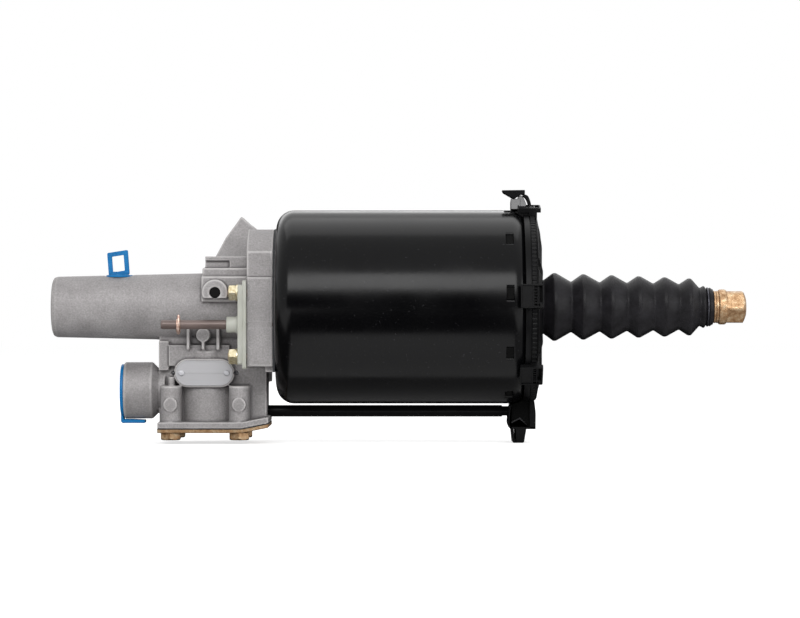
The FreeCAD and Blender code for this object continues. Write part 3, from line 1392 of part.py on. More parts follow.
def rim_block(name, angle, width, x_range, r_range):
    """A block on the rim: radial and tangential sides, turned to an angle above the front."""
    block = box(name, x_range, ("0", "1"), ("0", "1"))
    bind(block, "Width", f"({r_range[1]}) - ({r_range[0]})")
    bind(block, "Height", width)
    turn = f"-({angle})"
    block.Placement.Rotation = FreeCAD.Rotation(Vector(1, 0, 0), 1)
    bind(block, "Placement.Rotation.Angle", turn)
    half = f"(({width}) / 2)"
    bind(block, "Placement.Base.y", f"-({r_range[1]}) * cos({turn}) + {half} * sin({turn})")
    bind(block, "Placement.Base.z", f"-({r_range[1]}) * sin({turn}) - {half} * cos({turn})")
    return block


def make_end_cover():
    """Moulded end cover with ribs, latches, top hook, pipe socket and foot."""
    pieces = [cover_body()]
    for index in range(int(size("cover_rib_count"))):
        pieces.append(
            rim_block(
                f"cover_rib_{index + 1}",
                f"{index} * 360 / cover_rib_count",
                "cover_rib_thickness",
                (f"{DOME} - deep_sink", f"{DOME} + cover_rib_height"),
                (
                    "cover_neck_radius + cover_rib_inner",
                    "cover_shoulder_radius - cover_rib_outer",
                ),
            )
        )
    latch_right = "can_length + cover_lip + latch_overhang"
    for angle in LATCH_ANGLES:
        pieces.append(
            rim_block(
                f"latch_arm_{angle}",
                angle,
                "latch_width",
                (f"{latch_right} - latch_length", latch_right),
                ("can_radius + latch_gap", "can_radius + latch_height"),
            )
        )
        pieces.append(
            rim_block(
                f"latch_root_{angle}",
                angle,
                "latch_width",
                ("can_length + root_gap", "can_length + cover_lip + latch_root"),
                ("can_radius - latch_root_depth", "can_radius + joint_sink"),
            )
        )
    hook = prism(
        "top_hook",
        [(f"can_length + ({along})", f"can_radius + ({height})") for along, height in HOOK_EDGE],
        "-hook_width / 2",
        "hook_width / 2",
    )
    mouth = "can_length - socket_left"
    socket = prism(
        "pipe_socket",
        [
            (mouth, "-socket_low + socket_bevel_height"),
            (f"{mouth} + socket_bevel", "-socket_low"),
            ("can_length + socket_right", "-socket_low"),
            ("can_length + socket_right", "-can_radius + socket_root"),
            ("can_length + root_gap", "-can_radius + socket_root"),
            ("can_length + root_gap", "-can_radius - root_gap"),
            (mouth, "-can_radius - root_gap"),
        ],
        "-socket_front",
        "socket_back",
    )
    foot = prism(
        "foot",
        [
            ("can_length - foot_left", "-socket_low + joint_sink"),
            ("can_length - foot_left + foot_taper", "-foot_low"),
            ("can_length - foot_left + foot_length - foot_taper", "-foot_low"),
            ("can_length - foot_left + foot_length", "-socket_low + joint_sink"),
        ],
        "-socket_front",
        "socket_back",
    )
    pieces += [hook, socket, foot]
    sleeve = cylinder("socket_sleeve", "X", "pipe_radius + sleeve_wall", f"{mouth} - sleeve_length",
                      f"{mouth} + joint_sink", ("pipe_y", PIPE_Z))
    pieces.append(sleeve)
    holes = [
        cylinder("socket_hole", "X", "pipe_radius + seat_clearance",
                 f"{mouth} - sleeve_length - cut_reach", f"{mouth} + pipe_insert",
                 ("pipe_y", PIPE_Z)),
        cylinder("socket_groove", "X", "pipe_radius + pipe_seal + seat_clearance",
                 f"{mouth} + pipe_insert / 2 - pipe_seal_width / 2",
                 f"{mouth} + pipe_insert / 2 + pipe_seal_width / 2",
                 ("pipe_y", PIPE_Z)),
        cylinder("socket_end", "X", "pipe_radius - pipe_wall",
                 f"{mouth} + pipe_insert - cut_reach", "can_length - socket_floor",
                 ("pipe_y", PIPE_Z)),
    ]
    node("end_cover", cut("end_cover_cut", fuse("end_cover_blank", pieces), holes))


def make_pipe():
    """Breather pipe between valve body and end cover, with its two seal rings."""
    tube = turned(
        "breather_tube",
        [
            ("-block_right - pipe_insert + end_gap", "pipe_radius - pipe_wall"),
            ("-block_right - pipe_insert + end_gap", "pipe_radius"),
            ("can_length - socket_left + pipe_insert - end_gap", "pipe_radius"),
            ("can_length - socket_left + pipe_insert - end_gap", "pipe_radius - pipe_wall"),
        ],
    )
    node("breather_pipe", tube, ("0", "pipe_y", PIPE_Z))
    middles = ["-block_right - pipe_insert / 2", "can_length - socket_left + pipe_insert / 2"]
    ring = cut(
        "pipe_seal",
        cylinder("pipe_seal_outside", "X", "pipe_radius + pipe_seal",
                 "-pipe_seal_width / 2 + seal_play", "pipe_seal_width / 2 - seal_play"),
        [cylinder("pipe_seal_hole", "X", "pipe_radius + seat_clearance / 2", *THROUGH)],
    )
    node("pipe_seals", copies("pipe_seal", ring,
                              [(middle, "pipe_y", PIPE_Z) for middle in middles]))


def make_piston_rod():
    """Rod with the hydraulic piston at its left and the push rod's seat at its right."""
    groove = "slave_bore - bore_clearance - seal_groove"
    head = "slave_bore - bore_clearance"
    clip = f"{ROD_END} - clip_inset"
    points = [
        (HEAD_LEFT, "0"),
        (HEAD_LEFT, f"{head} - head_edge"),
        (f"{HEAD_LEFT} + head_edge", head),
    ]
    for start in ("seal_first", "seal_second"):
        points += [
            (f"{HEAD_LEFT} + {start}", head),
            (f"{HEAD_LEFT} + {start}", groove),
            (f"{HEAD_LEFT} + {start} + seal_width", groove),
            (f"{HEAD_LEFT} + {start} + seal_width", head),
        ]
    points += [
        (HEAD_RIGHT, head),
        (HEAD_RIGHT, "rod_radius"),
        (f"{clip} - clip_thickness", "rod_radius"),
        (f"{clip} - clip_thickness", "rod_radius - clip_depth"),
        (clip, "rod_radius - clip_depth"),
        (clip, "rod_radius"),
        (ROD_END, "rod_radius"),
        (ROD_END, "seat_mouth"),
        (f"{ROD_END} - push_seat", "seat_floor"),
        (f"{ROD_END} - push_seat", "0"),
    ]
    node("piston_rod", turned("piston_rod_body", points))
    ring = cut(
        "slave_seal",
        cylinder("slave_seal_outside", "X", "slave_bore - bore_clearance / 2",
                 "seal_play", "seal_width - seal_play"),
        [cylinder("slave_seal_hole", "X", f"{groove} + bore_clearance", *THROUGH)],
    )
    node("hydraulic_seals", copies("slave_seal", ring,
                                   [(f"{HEAD_LEFT} + {start}", "0", "0")
                                    for start in ("seal_first", "seal_second")]))


def make_guide_bush():
    """Bush that guides the piston rod, its seals and its retaining ring."""
    outside = "bush_radius - seat_clearance"
    inside = "rod_radius + bore_clearance"
    right = "-bush_recess"
    groove = f"{BUSH_LEFT} + bush_groove"
    floor = f"{outside} - bush_groove_depth"
    seat = "rod_radius + rod_seal_width"
    bush = turned(
        "bush",
        [
            (BUSH_LEFT, inside),
            (BUSH_LEFT, outside),
            (groove, outside),
            (groove, floor),
            (f"{groove} + bush_groove_width", floor),
            (f"{groove} + bush_groove_width", outside),
            (right, outside),
            (right, seat),
            (f"{right} - rod_seal_depth", seat),
            (f"{right} - rod_seal_depth", inside),
        ],
    )
    node("guide_bush", bush)
    node("bush_seal", turned(
        "bush_o_ring",
        [
            (f"{groove} + seal_play", f"{floor} + seat_clearance"),
            (f"{groove} + seal_play", "bush_radius - seal_gap"),
            (f"{groove} + bush_groove_width - seal_play", "bush_radius - seal_gap"),
            (f"{groove} + bush_groove_width - seal_play", f"{floor} + seat_clearance"),
        ],
    ))
    node("rod_seal", turned(
        "rod_seal_ring",
        [
            (f"{right} - rod_seal_depth + seal_play", "rod_radius + seal_gap"),
            (f"{right} - rod_seal_depth + seal_play", f"{seat} - seat_clearance"),
            (f"{right} - rod_seal_recess", f"{seat} - seat_clearance"),
            (f"{right} - rod_seal_recess", "rod_radius + rod_seal_lip_height"),
            (f"{right} - rod_seal_lip", "rod_radius + seal_gap"),
        ],
    ))
    node("bush_retaining_ring", turned(
        "bush_ring",
        [
            (f"{right} + seat_clearance", "bush_radius - clip_width"),
            (f"{right} + seat_clearance", "bush_radius - seat_clearance"),
            (f"{right} + clip_thickness", "bush_radius - seat_clearance"),
            (f"{right} + clip_thickness", "bush_radius - clip_width"),
        ],
    ))


def make_air_piston():
    """Pressed air piston with its lip seal, guide ring and retaining ring."""
    outside = f"{CAN_BORE} - bore_clearance - seat_clearance"
    wall = f"{outside} - piston_wall"
    left = f"{PISTON} - piston_rim / 2"
    right = f"{PISTON} + piston_rim / 2"
    first = f"{left} + piston_edge"
    last = f"{right} - piston_edge"
    lip_floor = f"{outside} - lip_depth"
    guide_floor = f"{outside} - guide_depth"
    clip = f"{ROD_END} - clip_inset"
    hub = "rod_radius + seal_gap"
    node("air_piston", turned(
        "piston",
        [
            (left, wall),
            (left, outside),
            (first, outside),
            (first, lip_floor),
            (f"{first} + lip_width", lip_floor),
            (f"{first} + lip_width", outside),
            (f"{last} - guide_width", outside),
            (f"{last} - guide_width", guide_floor),
            (last, guide_floor),
            (last, outside),
            (right, outside),
            (right, wall),
            (f"{PISTON} + piston_disc", f"{wall} - piston_draft"),
            (f"{PISTON} + piston_disc", "piston_hub_radius"),
            (f"{clip} - clip_thickness - seat_clearance", "piston_hub_radius - piston_hub_draft"),
            (f"{clip} - clip_thickness - seat_clearance", hub),
            (f"{PISTON} - piston_hub_left", hub),
            (f"{PISTON} - piston_hub_left", "piston_hub_radius"),
            (PISTON, "piston_hub_radius"),
            (PISTON, f"{wall} - piston_draft"),
        ],
    ))
    node("piston_lip_seal", turned(
        "lip_seal",
        [
            (f"{first} + seal_play", f"{lip_floor} + seal_gap"),
            (f"{first} + seal_play", f"{CAN_BORE} - seal_gap"),
            (f"{first} + seal_play + lip_edge", f"{CAN_BORE} - seal_gap"),
            (f"{first} + seal_play + lip_fall", f"{lip_floor} + lip_foot"),
            (f"{first} + lip_width - seal_play", f"{lip_floor} + lip_foot"),
            (f"{first} + lip_width - seal_play", f"{lip_floor} + seal_gap"),
        ],
    ))
    node("piston_guide_ring", turned(
        "guide_ring",
        [
            (f"{last} - guide_width + seal_play", f"{guide_floor} + seal_gap"),
            (f"{last} - guide_width + seal_play", f"{CAN_BORE} - seal_gap"),
            (f"{last} - seal_play", f"{CAN_BORE} - seal_gap"),
            (f"{last} - seal_play", f"{guide_floor} + seal_gap"),
        ],
    ))
    node("piston_retaining_ring", turned(
        "piston_clip",
        [
            (f"{clip} - clip_thickness + seal_gap", "rod_radius - clip_depth + seal_gap"),
            (f"{clip} - clip_thickness + seal_gap", "rod_radius + clip_height"),
            (f"{clip} - seal_gap", "rod_radius + clip_height"),
            (f"{clip} - seal_gap", "rod_radius - clip_depth + seal_gap"),
        ],
    ))


def coil(name, radius, wire, low, high, turns, axis):
    """A round-wire compression spring between two places on the X or Z axis."""
    length = high - low - 2 * wire
    path = Part.makeHelix(length / turns, length, radius)
    start = Part.Wire(Part.makeCircle(wire, Vector(radius, 0, 0), Vector(0, 1, 0)))
    for curve in (path, start):
        curve.translate(Vector(0, 0, low + wire))
        if axis == "X":
            curve.rotate(Vector(), Vector(0, 1, 0), 90)
    spring = doc.addObject("Part::Feature", name)
    spring.Shape = Part.Wire(path).makePipeShell([start], True, True)
    return spring


def make_springs():
    """Preload spring of the air piston, and the two springs of the relay valve."""
    gap = size("spring_gap")
    spring = coil("preload_coil", size("spring_radius"), size("spring_wire"),
                  size("can_wall") + gap, sheet_value(PISTON) - gap, size("spring_turns"), "X")
    node("preload_spring", spring)
    wire = size("valve_spring_wire")
    spring = coil("relay_coil", size("relay_bore") - size("relay_spring_inset"), wire,
                  sheet_value(SEAT_TOP) + gap, sheet_value(DISC_LOW) - gap,
                  size("valve_spring_turns"), "Z")
    node("relay_spring", spring, ("-valve_x", "0", "0"))
    spring = coil("inlet_coil", size("poppet_stem_radius") + size("inlet_spring_gap"), wire,
                  sheet_value(SPRING_PLATE_TOP) + gap, sheet_value(POPPET_LOW) - gap,
                  size("valve_spring_turns"), "Z")
    node("inlet_spring", spring, ("-valve_x", "0", "0"))


def make_relay_valve():
    """Relay piston, seat insert, inlet valve and spring plate, along Z."""
    place = ("-valve_x", "0", "0")
    pilot = "pilot_bore - bore_clearance"
    disc = "relay_bore - bore_clearance"
    groove = f"{RELAY_TOP} - relay_groove"
    floor = f"{pilot} - relay_groove_depth"
    node("relay_piston", turned(
        "relay_body",
        [
            (RELAY_TOP, "0"),
            (RELAY_TOP, pilot),
            (groove, pilot),
            (groove, floor),
            (f"{groove} - relay_groove_width", floor),
            (f"{groove} - relay_groove_width", pilot),
            (PILOT_LOW, pilot),
            (PILOT_LOW, "relay_stem_radius"),
            (DISC_TOP, "relay_stem_radius"),
            (DISC_TOP, disc),
            (DISC_LOW, disc),
            (DISC_LOW, "relay_stem_radius"),
            (f"{POPPET_TOP} + valve_gap", "relay_stem_radius"),
            (f"{POPPET_TOP} + valve_gap", "0"),
        ],
        "V_Axis",
    ), place)
    node("relay_piston_seal", turned(
        "relay_o_ring",
        [
            (f"{groove} - seal_play", f"{floor} + seat_clearance"),
            (f"{groove} - seal_play", "pilot_bore - seal_gap"),
            (f"{groove} - relay_groove_width + seal_play", "pilot_bore - seal_gap"),
            (f"{groove} - relay_groove_width + seal_play", f"{floor} + seat_clearance"),
        ],
        "V_Axis",
    ), place)
    bottom = f"{COVER_TOP} + seat_clearance"
    inside = "valve_bore - seat_clearance - insert_wall"
    insert = turned(
        "seat_insert",
        [
            (SEAT_TOP, "seat_hole"),
            (SEAT_TOP, "valve_bore - seat_clearance"),
            ("-base_bottom + seat_clearance", "valve_bore - seat_clearance"),
            ("-base_bottom + seat_clearance", "valve_bore - insert_step - seat_clearance"),
            (bottom, "valve_bore - insert_step - seat_clearance"),
            (bottom, inside),
            (f"{SEAT_TOP} - seat_wall", inside),
            (f"{SEAT_TOP} - seat_wall", "seat_hole"),
        ],
        "V_Axis",
    )
    inlet = cylinder("seat_cross_hole", "X", "seat_inlet", *THROUGH,
                     ("0", f"{POPPET_LOW} - seat_inlet_drop"))
    node("valve_seat", cut("seat_cut", insert, [inlet]), place)
    node("inlet_valve", turned(
        "poppet",
        [
            (POPPET_TOP, "0"),
            (POPPET_TOP, "poppet_radius - poppet_edge"),
            (f"{POPPET_TOP} - poppet_edge", "poppet_radius"),
            (POPPET_LOW, "poppet_radius"),
            (POPPET_LOW, "poppet_stem_radius"),
            (f"{POPPET_LOW} - poppet_stem", "poppet_stem_radius"),
            (f"{POPPET_LOW} - poppet_stem", "0"),
        ],
        "V_Axis",
    ), place)
    node("spring_plate", turned(
        "spring_plate_disc",
        [
            (bottom, "0"),
            (bottom, f"{inside} - valve_gap"),
            (SPRING_PLATE_TOP, f"{inside} - valve_gap"),
            (SPRING_PLATE_TOP, "0"),
        ],
        "V_Axis",
    ), place)


def make_push_rod():
    """Push rod seated in the piston rod, with the washers and the nut on its thread."""
    tip_start = f"{BOOT_RIGHT} + washer_pair"
    cuff = f"{BOOT_RIGHT} - boot_cuff_length"
    groove = "push_radius - cuff_groove_depth"
    node("push_rod", turned(
        "push_rod_body",
        [
            (f"{ROD_END} - push_seat + push_gap", "0"),
            (f"{ROD_END} - push_seat + push_gap", "push_end_radius"),
            (f"{ROD_END} - push_neck_left", "push_neck_radius"),
            (f"{ROD_END} + push_neck_right", "push_neck_radius"),
            (f"{ROD_END} + push_shoulder", "push_radius"),
            (f"{cuff} - cuff_groove_left", "push_radius"),
            (f"{cuff} - cuff_groove_left", groove),
            (f"{cuff} + cuff_groove_right", groove),
            (f"{cuff} + cuff_groove_right", "push_radius"),
            (BOOT_RIGHT, "push_radius"),
            (BOOT_RIGHT, "thread_radius"),
            (f"{tip_start} + collar_length + tip_hexagon - thread_short", "thread_radius"),
            (f"{tip_start} + collar_length + tip_hexagon - thread_short", "0"),
        ],
    ))
    half = "washer_pair / 2"
    washer = cut(
        "tip_washer",
        cylinder("tip_washer_outside", "X", "tip_washer_radius", "seat_clearance",
                 f"{half} - seat_clearance"),
        [cylinder("tip_washer_hole", "X", "thread_radius + tip_washer_play", *THROUGH)],
    )
    node("tip_washers", copies("tip_washer", washer,
                               [(BOOT_RIGHT, "0", "0"), (f"{BOOT_RIGHT} + {half}", "0", "0")]))
    collar = turned(
        "nut_collar",
        [
            (tip_start, "thread_radius + bore_clearance"),
            (tip_start, "collar_radius"),
            (f"{tip_start} + collar_length - collar_slope", "collar_radius"),
            (f"{tip_start} + collar_length + collar_run_out", "tip_across_flats / 2 - collar_run_in"),
            (f"{tip_start} + collar_length + collar_run_out", "thread_radius + bore_clearance"),
        ],
    )
    hexagon_end = f"{tip_start} + collar_length + tip_hexagon"
    blank = hexagon("tip_hex", "X", "tip_across_flats", f"{tip_start} + collar_length",
                    f"{hexagon_end} + tip_dome")
    corner = "tip_across_flats / sqrt(3)"
    dome = turned(
        "tip_dome_envelope",
        [
            (f"{tip_start} + collar_length - joint_sink", "0"),
            (f"{tip_start} + collar_length - joint_sink", f"{corner} - tip_corner"),
            (f"{tip_start} + collar_length + joint_sink", f"{corner} + tip_oversize"),
            (f"{hexagon_end} - tip_edge", f"{corner} + tip_oversize"),
            (f"{hexagon_end} + tip_dome * tip_middle", "tip_across_flats / 2 - tip_middle_drop"),
            (f"{hexagon_end} + tip_dome", "tip_across_flats / 2 - tip_flat_drop"),
            (f"{hexagon_end} + tip_dome", "0"),
        ],
    )
    thread = cylinder("nut_thread", "X", "thread_radius + bore_clearance", tip_start,
                      f"{hexagon_end} - tip_floor")
    node("push_rod_nut", cut(
        "tip_nut", fuse("tip_nut_blank", [collar, common("tip_hexagon_domed", blank, dome)]),
        [thread]))


def boot_outline():
    """Outer profile of the boot, wide end to small end, as X and radius."""
    along = sheet_value(BOOT_LEFT)
    pitch = size("boot_pitch")
    half = size("valley_half")
    points = [(along, size("boot_valley") + size("boot_lip"))]
    for fold in range(BOOT_FOLDS):
        peak = size("boot_peak") - size("boot_peak_drop") * fold
        valley = size("boot_valley") - size("boot_valley_drop") * (fold + 1)
        points.append((along + pitch * size("fold_rise"), peak - size("fold_round")))
        points.append((along + pitch * size("fold_crown"), peak))
        points.append((along + pitch * size("fold_fall"), peak - size("fold_round")))
        along += pitch
        pitch *= size("boot_taper")
        points.append((along - pitch * half, valley))
        points.append((along + pitch * half, valley))
    end = sheet_value(BOOT_RIGHT)
    cuff = end - size("boot_cuff_length")
    radius = size("boot_cuff_radius")
    points[-2:] = [
        (cuff - size("cuff_lead"), radius + size("cuff_lead_rise")),
        (cuff + size("cuff_bead"), radius + size("cuff_bead_rise")),
    ]
    points.append((cuff + size("cuff_seat"), radius + size("cuff_seat_rise")))
    points.append((end - size("seat_clearance"), radius))
    return points


def make_boot():
    """Rubber bellows from the end cover's neck to the push rod, and its wire ring."""
    outer = boot_outline()
    wall = size("boot_wall")
    cuff = sheet_value(BOOT_RIGHT) - size("boot_cuff_length")
    bore = size("push_radius") + size("seat_clearance")
    neck = size("cover_neck_radius") + size("seat_clearance")
    neck_end = sheet_value(f"{DOME} + cover_neck_length + boot_neck_gap")
    inner = [
        (x_place, max(radius - wall, neck) if x_place < neck_end else radius - wall)
        for x_place, radius in outer
        if x_place < cuff - size("boot_hollow_end")
    ]
    inner[0] = (outer[0][0], neck)
    inner += [(cuff - size("cuff_bead"), bore), (outer[-1][0], bore)]
    loop = [Vector(x_place, 0, radius) for x_place, radius in outer + inner[::-1]]
    face = Part.Face(Part.makePolygon(loop + loop[:1]))
    boot = doc.addObject("Part::Feature", "boot_rubber")
    boot.Shape = face.revolve(Vector(), Vector(1, 0, 0), 360)
    node("boot", boot)
    left = f"{BOOT_RIGHT} - wire_inset"
    inside = "boot_cuff_radius + wire_gap"
    node("boot_wire_ring", turned(
        "wire_ring",
        [
            (left, inside),
            (left, f"{inside} + wire_height"),
            (f"{left} + wire_width", f"{inside} + wire_height"),
            (f"{left} + wire_width", inside),
        ],
    ))


def build():
    """Make every piece, check it and write it out."""
    make_housing()
    make_gaskets()
    make_cover_plate()
    make_name_plate()
    make_transit_plugs()
    make_wear_indicator()
    make_studs()
    make_air_cylinder()
    make_end_cover()
    make_pipe()
    make_piston_rod()
    make_guide_bush()
    make_air_piston()
    make_relay_valve()
    make_springs()
    make_push_rod()
    make_boot()
    doc.recompute()
    for item in doc.Objects:
        if "Invalid" in item.State or "Error" in item.State:
            raise RuntimeError(f"{item.Name} failed: {item.State}")
    os.makedirs("parts", exist_ok=True)
    for name, item in NODES.items():
        shape = item.Shape
        if shape.isNull() or not shape.isValid() or not shape.Solids:
            raise RuntimeError(f"{name} has no sound solid")
        shape.exportStep(f"parts/{name}.step")
        print(f"{name}: {len(shape.Solids)} solid(s), {shape.Volume:.0f} mm3")


build()
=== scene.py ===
"""Looks of the clutch servo: the shape and finish of every surface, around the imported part.

Sizes are millimetres from the centre of the joint face between the cast housing and the air
cylinder. X runs along the push rod to its tip, Y to the back and Z up.
"""

import logging
from dataclasses import dataclass
from enum import Enum
from typing import Sequence

import bmesh
import bpy
import numpy as np
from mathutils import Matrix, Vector


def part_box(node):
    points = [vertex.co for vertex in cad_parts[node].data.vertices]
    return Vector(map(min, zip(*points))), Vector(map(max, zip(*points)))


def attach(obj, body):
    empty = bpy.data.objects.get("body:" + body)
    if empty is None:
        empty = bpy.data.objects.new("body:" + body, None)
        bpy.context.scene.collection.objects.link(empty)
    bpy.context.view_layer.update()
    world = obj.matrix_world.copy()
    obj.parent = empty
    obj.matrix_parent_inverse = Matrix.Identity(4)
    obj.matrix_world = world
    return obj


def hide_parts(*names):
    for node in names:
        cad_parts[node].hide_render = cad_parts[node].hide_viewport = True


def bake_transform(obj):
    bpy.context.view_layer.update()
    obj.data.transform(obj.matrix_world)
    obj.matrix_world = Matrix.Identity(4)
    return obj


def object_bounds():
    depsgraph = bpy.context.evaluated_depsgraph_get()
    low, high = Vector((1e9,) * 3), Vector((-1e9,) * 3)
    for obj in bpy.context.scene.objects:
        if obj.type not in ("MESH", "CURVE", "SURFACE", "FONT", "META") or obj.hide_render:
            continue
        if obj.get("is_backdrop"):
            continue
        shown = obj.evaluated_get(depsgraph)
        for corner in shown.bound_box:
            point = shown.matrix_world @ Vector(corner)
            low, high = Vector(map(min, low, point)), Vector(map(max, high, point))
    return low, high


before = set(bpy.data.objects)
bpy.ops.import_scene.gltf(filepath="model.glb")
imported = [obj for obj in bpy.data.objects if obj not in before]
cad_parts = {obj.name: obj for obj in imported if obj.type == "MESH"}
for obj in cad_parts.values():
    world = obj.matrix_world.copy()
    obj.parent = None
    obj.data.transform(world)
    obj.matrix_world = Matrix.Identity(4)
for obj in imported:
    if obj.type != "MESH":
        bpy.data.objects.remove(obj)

log = logging.getLogger("clutch_servo")
MM = 0.001
FULL_TURN = 2 * np.pi
ON_AXIS = 0.05  # radius at which a turned line starts, so that its ring stays a ring
Array = np.ndarray
Socket = bpy.types.NodeSocket
Colour = tuple[float, float, float, float]


class Ends(Enum):
    """What closes the two ends of a surface."""

    CAPPED = "each end has a flat face"
    JOINED = "the last ring meets the first"


class Axis(Enum):
    """The axis that a turned piece is made about."""

    X = "x"
    Y = "y"
    Z = "z"


# Shapes


@dataclass
class Shell:
    """A closed surface: rings of points, one after another, and how it ends."""

    rings: Array
    ends: Ends = Ends.CAPPED

    def outward(self) -> "Shell":
        """Turn the faces outwards.

        The signed volume is the sum of each face's corner product; where it comes out negative,
        the points of every ring are taken the other way round.

        Returns:
            The shell with its faces outwards.
        """
        rings = self.rings - self.rings.reshape(-1, 3).mean(0)
        if self.ends is Ends.JOINED:
            rings = np.concatenate([rings, rings[:1]])
        else:
            first = np.broadcast_to(rings[0].mean(0), rings[:1].shape)
            last = np.broadcast_to(rings[-1].mean(0), rings[:1].shape)
            rings = np.concatenate([first, rings, last])
        beside = np.roll(rings, -1, axis=1)
        near, far = rings[:-1], rings[1:]
        near_beside, far_beside = beside[:-1], beside[1:]
        volume = np.sum(near * np.cross(near_beside, far_beside))
        volume += np.sum(near * np.cross(far_beside, far))
        return self if volume > 0 else Shell(self.rings[:, ::-1], self.ends)

    def faces(self, first: int) -> list[list[int]]:
        """List the faces.

        Args:
            first: The number of the shell's first point in the mesh.

        Returns:
            Point numbers of each face.
        """
        rows, steps = self.rings.shape[:2]
        corner = first + np.arange(rows * steps).reshape(rows, steps)
        caps = [corner[0, ::-1].tolist(), corner[-1].tolist()] if self.ends is Ends.CAPPED else []
        if self.ends is Ends.JOINED:
            corner = np.vstack([corner, corner[:1]])
        beside = np.roll(corner, -1, axis=1)
        quads = np.stack([corner[:-1], beside[:-1], beside[1:], corner[1:]], axis=-1)
        return quads.reshape(-1, 4).tolist() + caps

    def moved(self, x: float = 0.0, y: float = 0.0, z: float = 0.0) -> "Shell":
        """Return a copy moved by x, y and z."""
        return Shell(self.rings + np.array([x, y, z]), self.ends)


def eased(corners: Sequence[Sequence[float]], steps: int = 6) -> Array:
    """Draw a line through corners, each rounded by an arc.

    An arc leaves the line cut before its corner and meets it again cut after it. It is the
    rational quadratic curve whose middle weight is the cosine of half the turn, which is a true
    arc of a circle.

    Args:
        corners: (along, across, cut) of each corner; a sharp one has a cut of 0.
        steps: Points on each arc.

    Returns:
        The line's points, one row each.
    """
    table = np.array(corners, float)
    corner, cut = table[:, :2], table[:, 2:]
    before = np.roll(corner, 1, axis=0) - corner
    after = np.roll(corner, -1, axis=0) - corner
    before /= np.linalg.norm(before, axis=1, keepdims=True)
    after /= np.linalg.norm(after, axis=1, keepdims=True)
    turn = np.arccos(np.clip(-np.sum(before * after, axis=1), -1, 1))
    middle = 2 * np.cos(turn / 2)[:, None, None]
    share = np.linspace(0, 1, steps)[None, :, None]
    first, second, third = (1 - share) ** 2, middle * share * (1 - share), share**2
    start, end = corner + before * cut, corner + after * cut
    line = first * start[:, None] + second * corner[:, None] + third * end[:, None]
    line = (line / (first + second + third)).reshape(-1, 2)
    kept = np.linalg.norm(np.diff(line, axis=0), axis=1) > 1e-6
    return line[np.r_[True, kept]]


def rings_about(axis: Axis, along: Array, radius: Array, steps: int,
                place: Sequence[float] = (0, 0, 0)) -> Array:
    """Turn places and radii about an axis.

    At angle a a point stands radius times (cos a, sin a) off the axis. About X, angle 0 looks to
    the front and a quarter turn looks up.

    Args:
        axis: What is turned about.
        along: Places along the axis, (rows, 1) or (rows, steps).
        radius: Radii, (rows, 1) or (rows, steps).
        steps: Points on each ring.
        place: A point that the axis passes through.

    Returns:
        Rings of points, (rows, steps, 3).
    """
    angle = np.linspace(0, FULL_TURN, steps, endpoint=False)[None, :]
    side, up = radius * np.cos(angle), radius * np.sin(angle)
    far = along + 0 * side
    order = {Axis.X: (far, -side, up), Axis.Y: (side, far, up), Axis.Z: (side, up, far)}
    return np.stack(order[axis], axis=-1) + np.array(place, float)


def turned(line: Array, axis: Axis = Axis.X, place: Sequence[float] = (0, 0, 0),
           ends: Ends = Ends.CAPPED, steps: int = 96) -> Shell:
    """Turn a line of (along, radius) about an axis.

    Args:
        line: Places along the axis and radii.
        axis: What it is turned about.
        place: A point of the axis.
        ends: JOINED where the line is a closed loop, as on a ring or a tube.
        steps: Points on each ring.

    Returns:
        The turned shell.
    """
    return Shell(rings_about(axis, line[:, :1], line[:, 1:], steps, place), ends)


def hexagon(line: Array, across_flats: float, axis: Axis = Axis.X, ends: Ends = Ends.CAPPED,
            corner_at: float = 0.0, steps: int = 144) -> Shell:
    """Turn a line and cut it to a hexagon.

    The radius is the smaller of the line's own and that of the flats, which is half the width
    across flats over the cosine of the angle from the flat's middle.

    Args:
        line: Places along the axis and radii.
        across_flats: Width of the hexagon.
        axis: What it is turned about.
        ends: How it ends.
        corner_at: Angle of one of its corners, degrees.
        steps: Points on each ring, a multiple of 12.

    Returns:
        The hexagonal shell.
    """
    angle = np.linspace(0, FULL_TURN, steps, endpoint=False)
    from_flat = np.mod(angle - np.radians(corner_at), np.pi / 3) - np.pi / 6
    flats = across_flats / 2 / np.cos(from_flat)
    radius = np.minimum(line[:, 1:], flats[None, :])
    return Shell(rings_about(axis, line[:, :1], radius, steps), ends)


def hexagon_corner(across_flats: float) -> float:
    """Distance from the middle of a hexagon to its corners."""
    return across_flats / np.sqrt(3)


def rectangle(width: float, height: float, corner: float, steps: int = 7) -> Array:
    """Outline of a rounded rectangle about its centre, as an (n, 2) array."""
    x, y = width / 2, height / 2
    return eased([(x, y, corner), (-x, y, corner), (-x, -y, corner), (x, -y, corner)], steps)


# Directions of an outline's two numbers, and of the way that the outline is carried.
Directions = Sequence[Sequence[float]]
TO_FRONT: Directions = ((1, 0, 0), (0, 0, 1), (0, -1, 0))
TO_BACK: Directions = ((1, 0, 0), (0, 0, 1), (0, 1, 0))
TO_RIGHT: Directions = ((0, 1, 0), (0, 0, 1), (1, 0, 0))
TO_TOP: Directions = ((1, 0, 0), (0, 1, 0), (0, 0, 1))
DOWNWARDS: Directions = ((1, 0, 0), (0, 1, 0), (0, 0, -1))


def outwards(degrees: float) -> Directions:
    """Directions along X, round the rim and away from the axis, at an angle from the front."""
    turn = np.radians(degrees)
    return (1, 0, 0), (0, np.sin(turn), np.cos(turn)), (0, -np.cos(turn), np.sin(turn))


def set_out(flat: Array, depth: Array, centre: Sequence[float], directions: Directions) -> Array:
    """Points of flat outlines (..., 2) at their depths, along the directions from the centre."""
    across, up, along = (np.array(direction, float) for direction in directions)
    return flat[..., :1] * across + flat[..., 1:] * up + depth * along + np.array(centre)


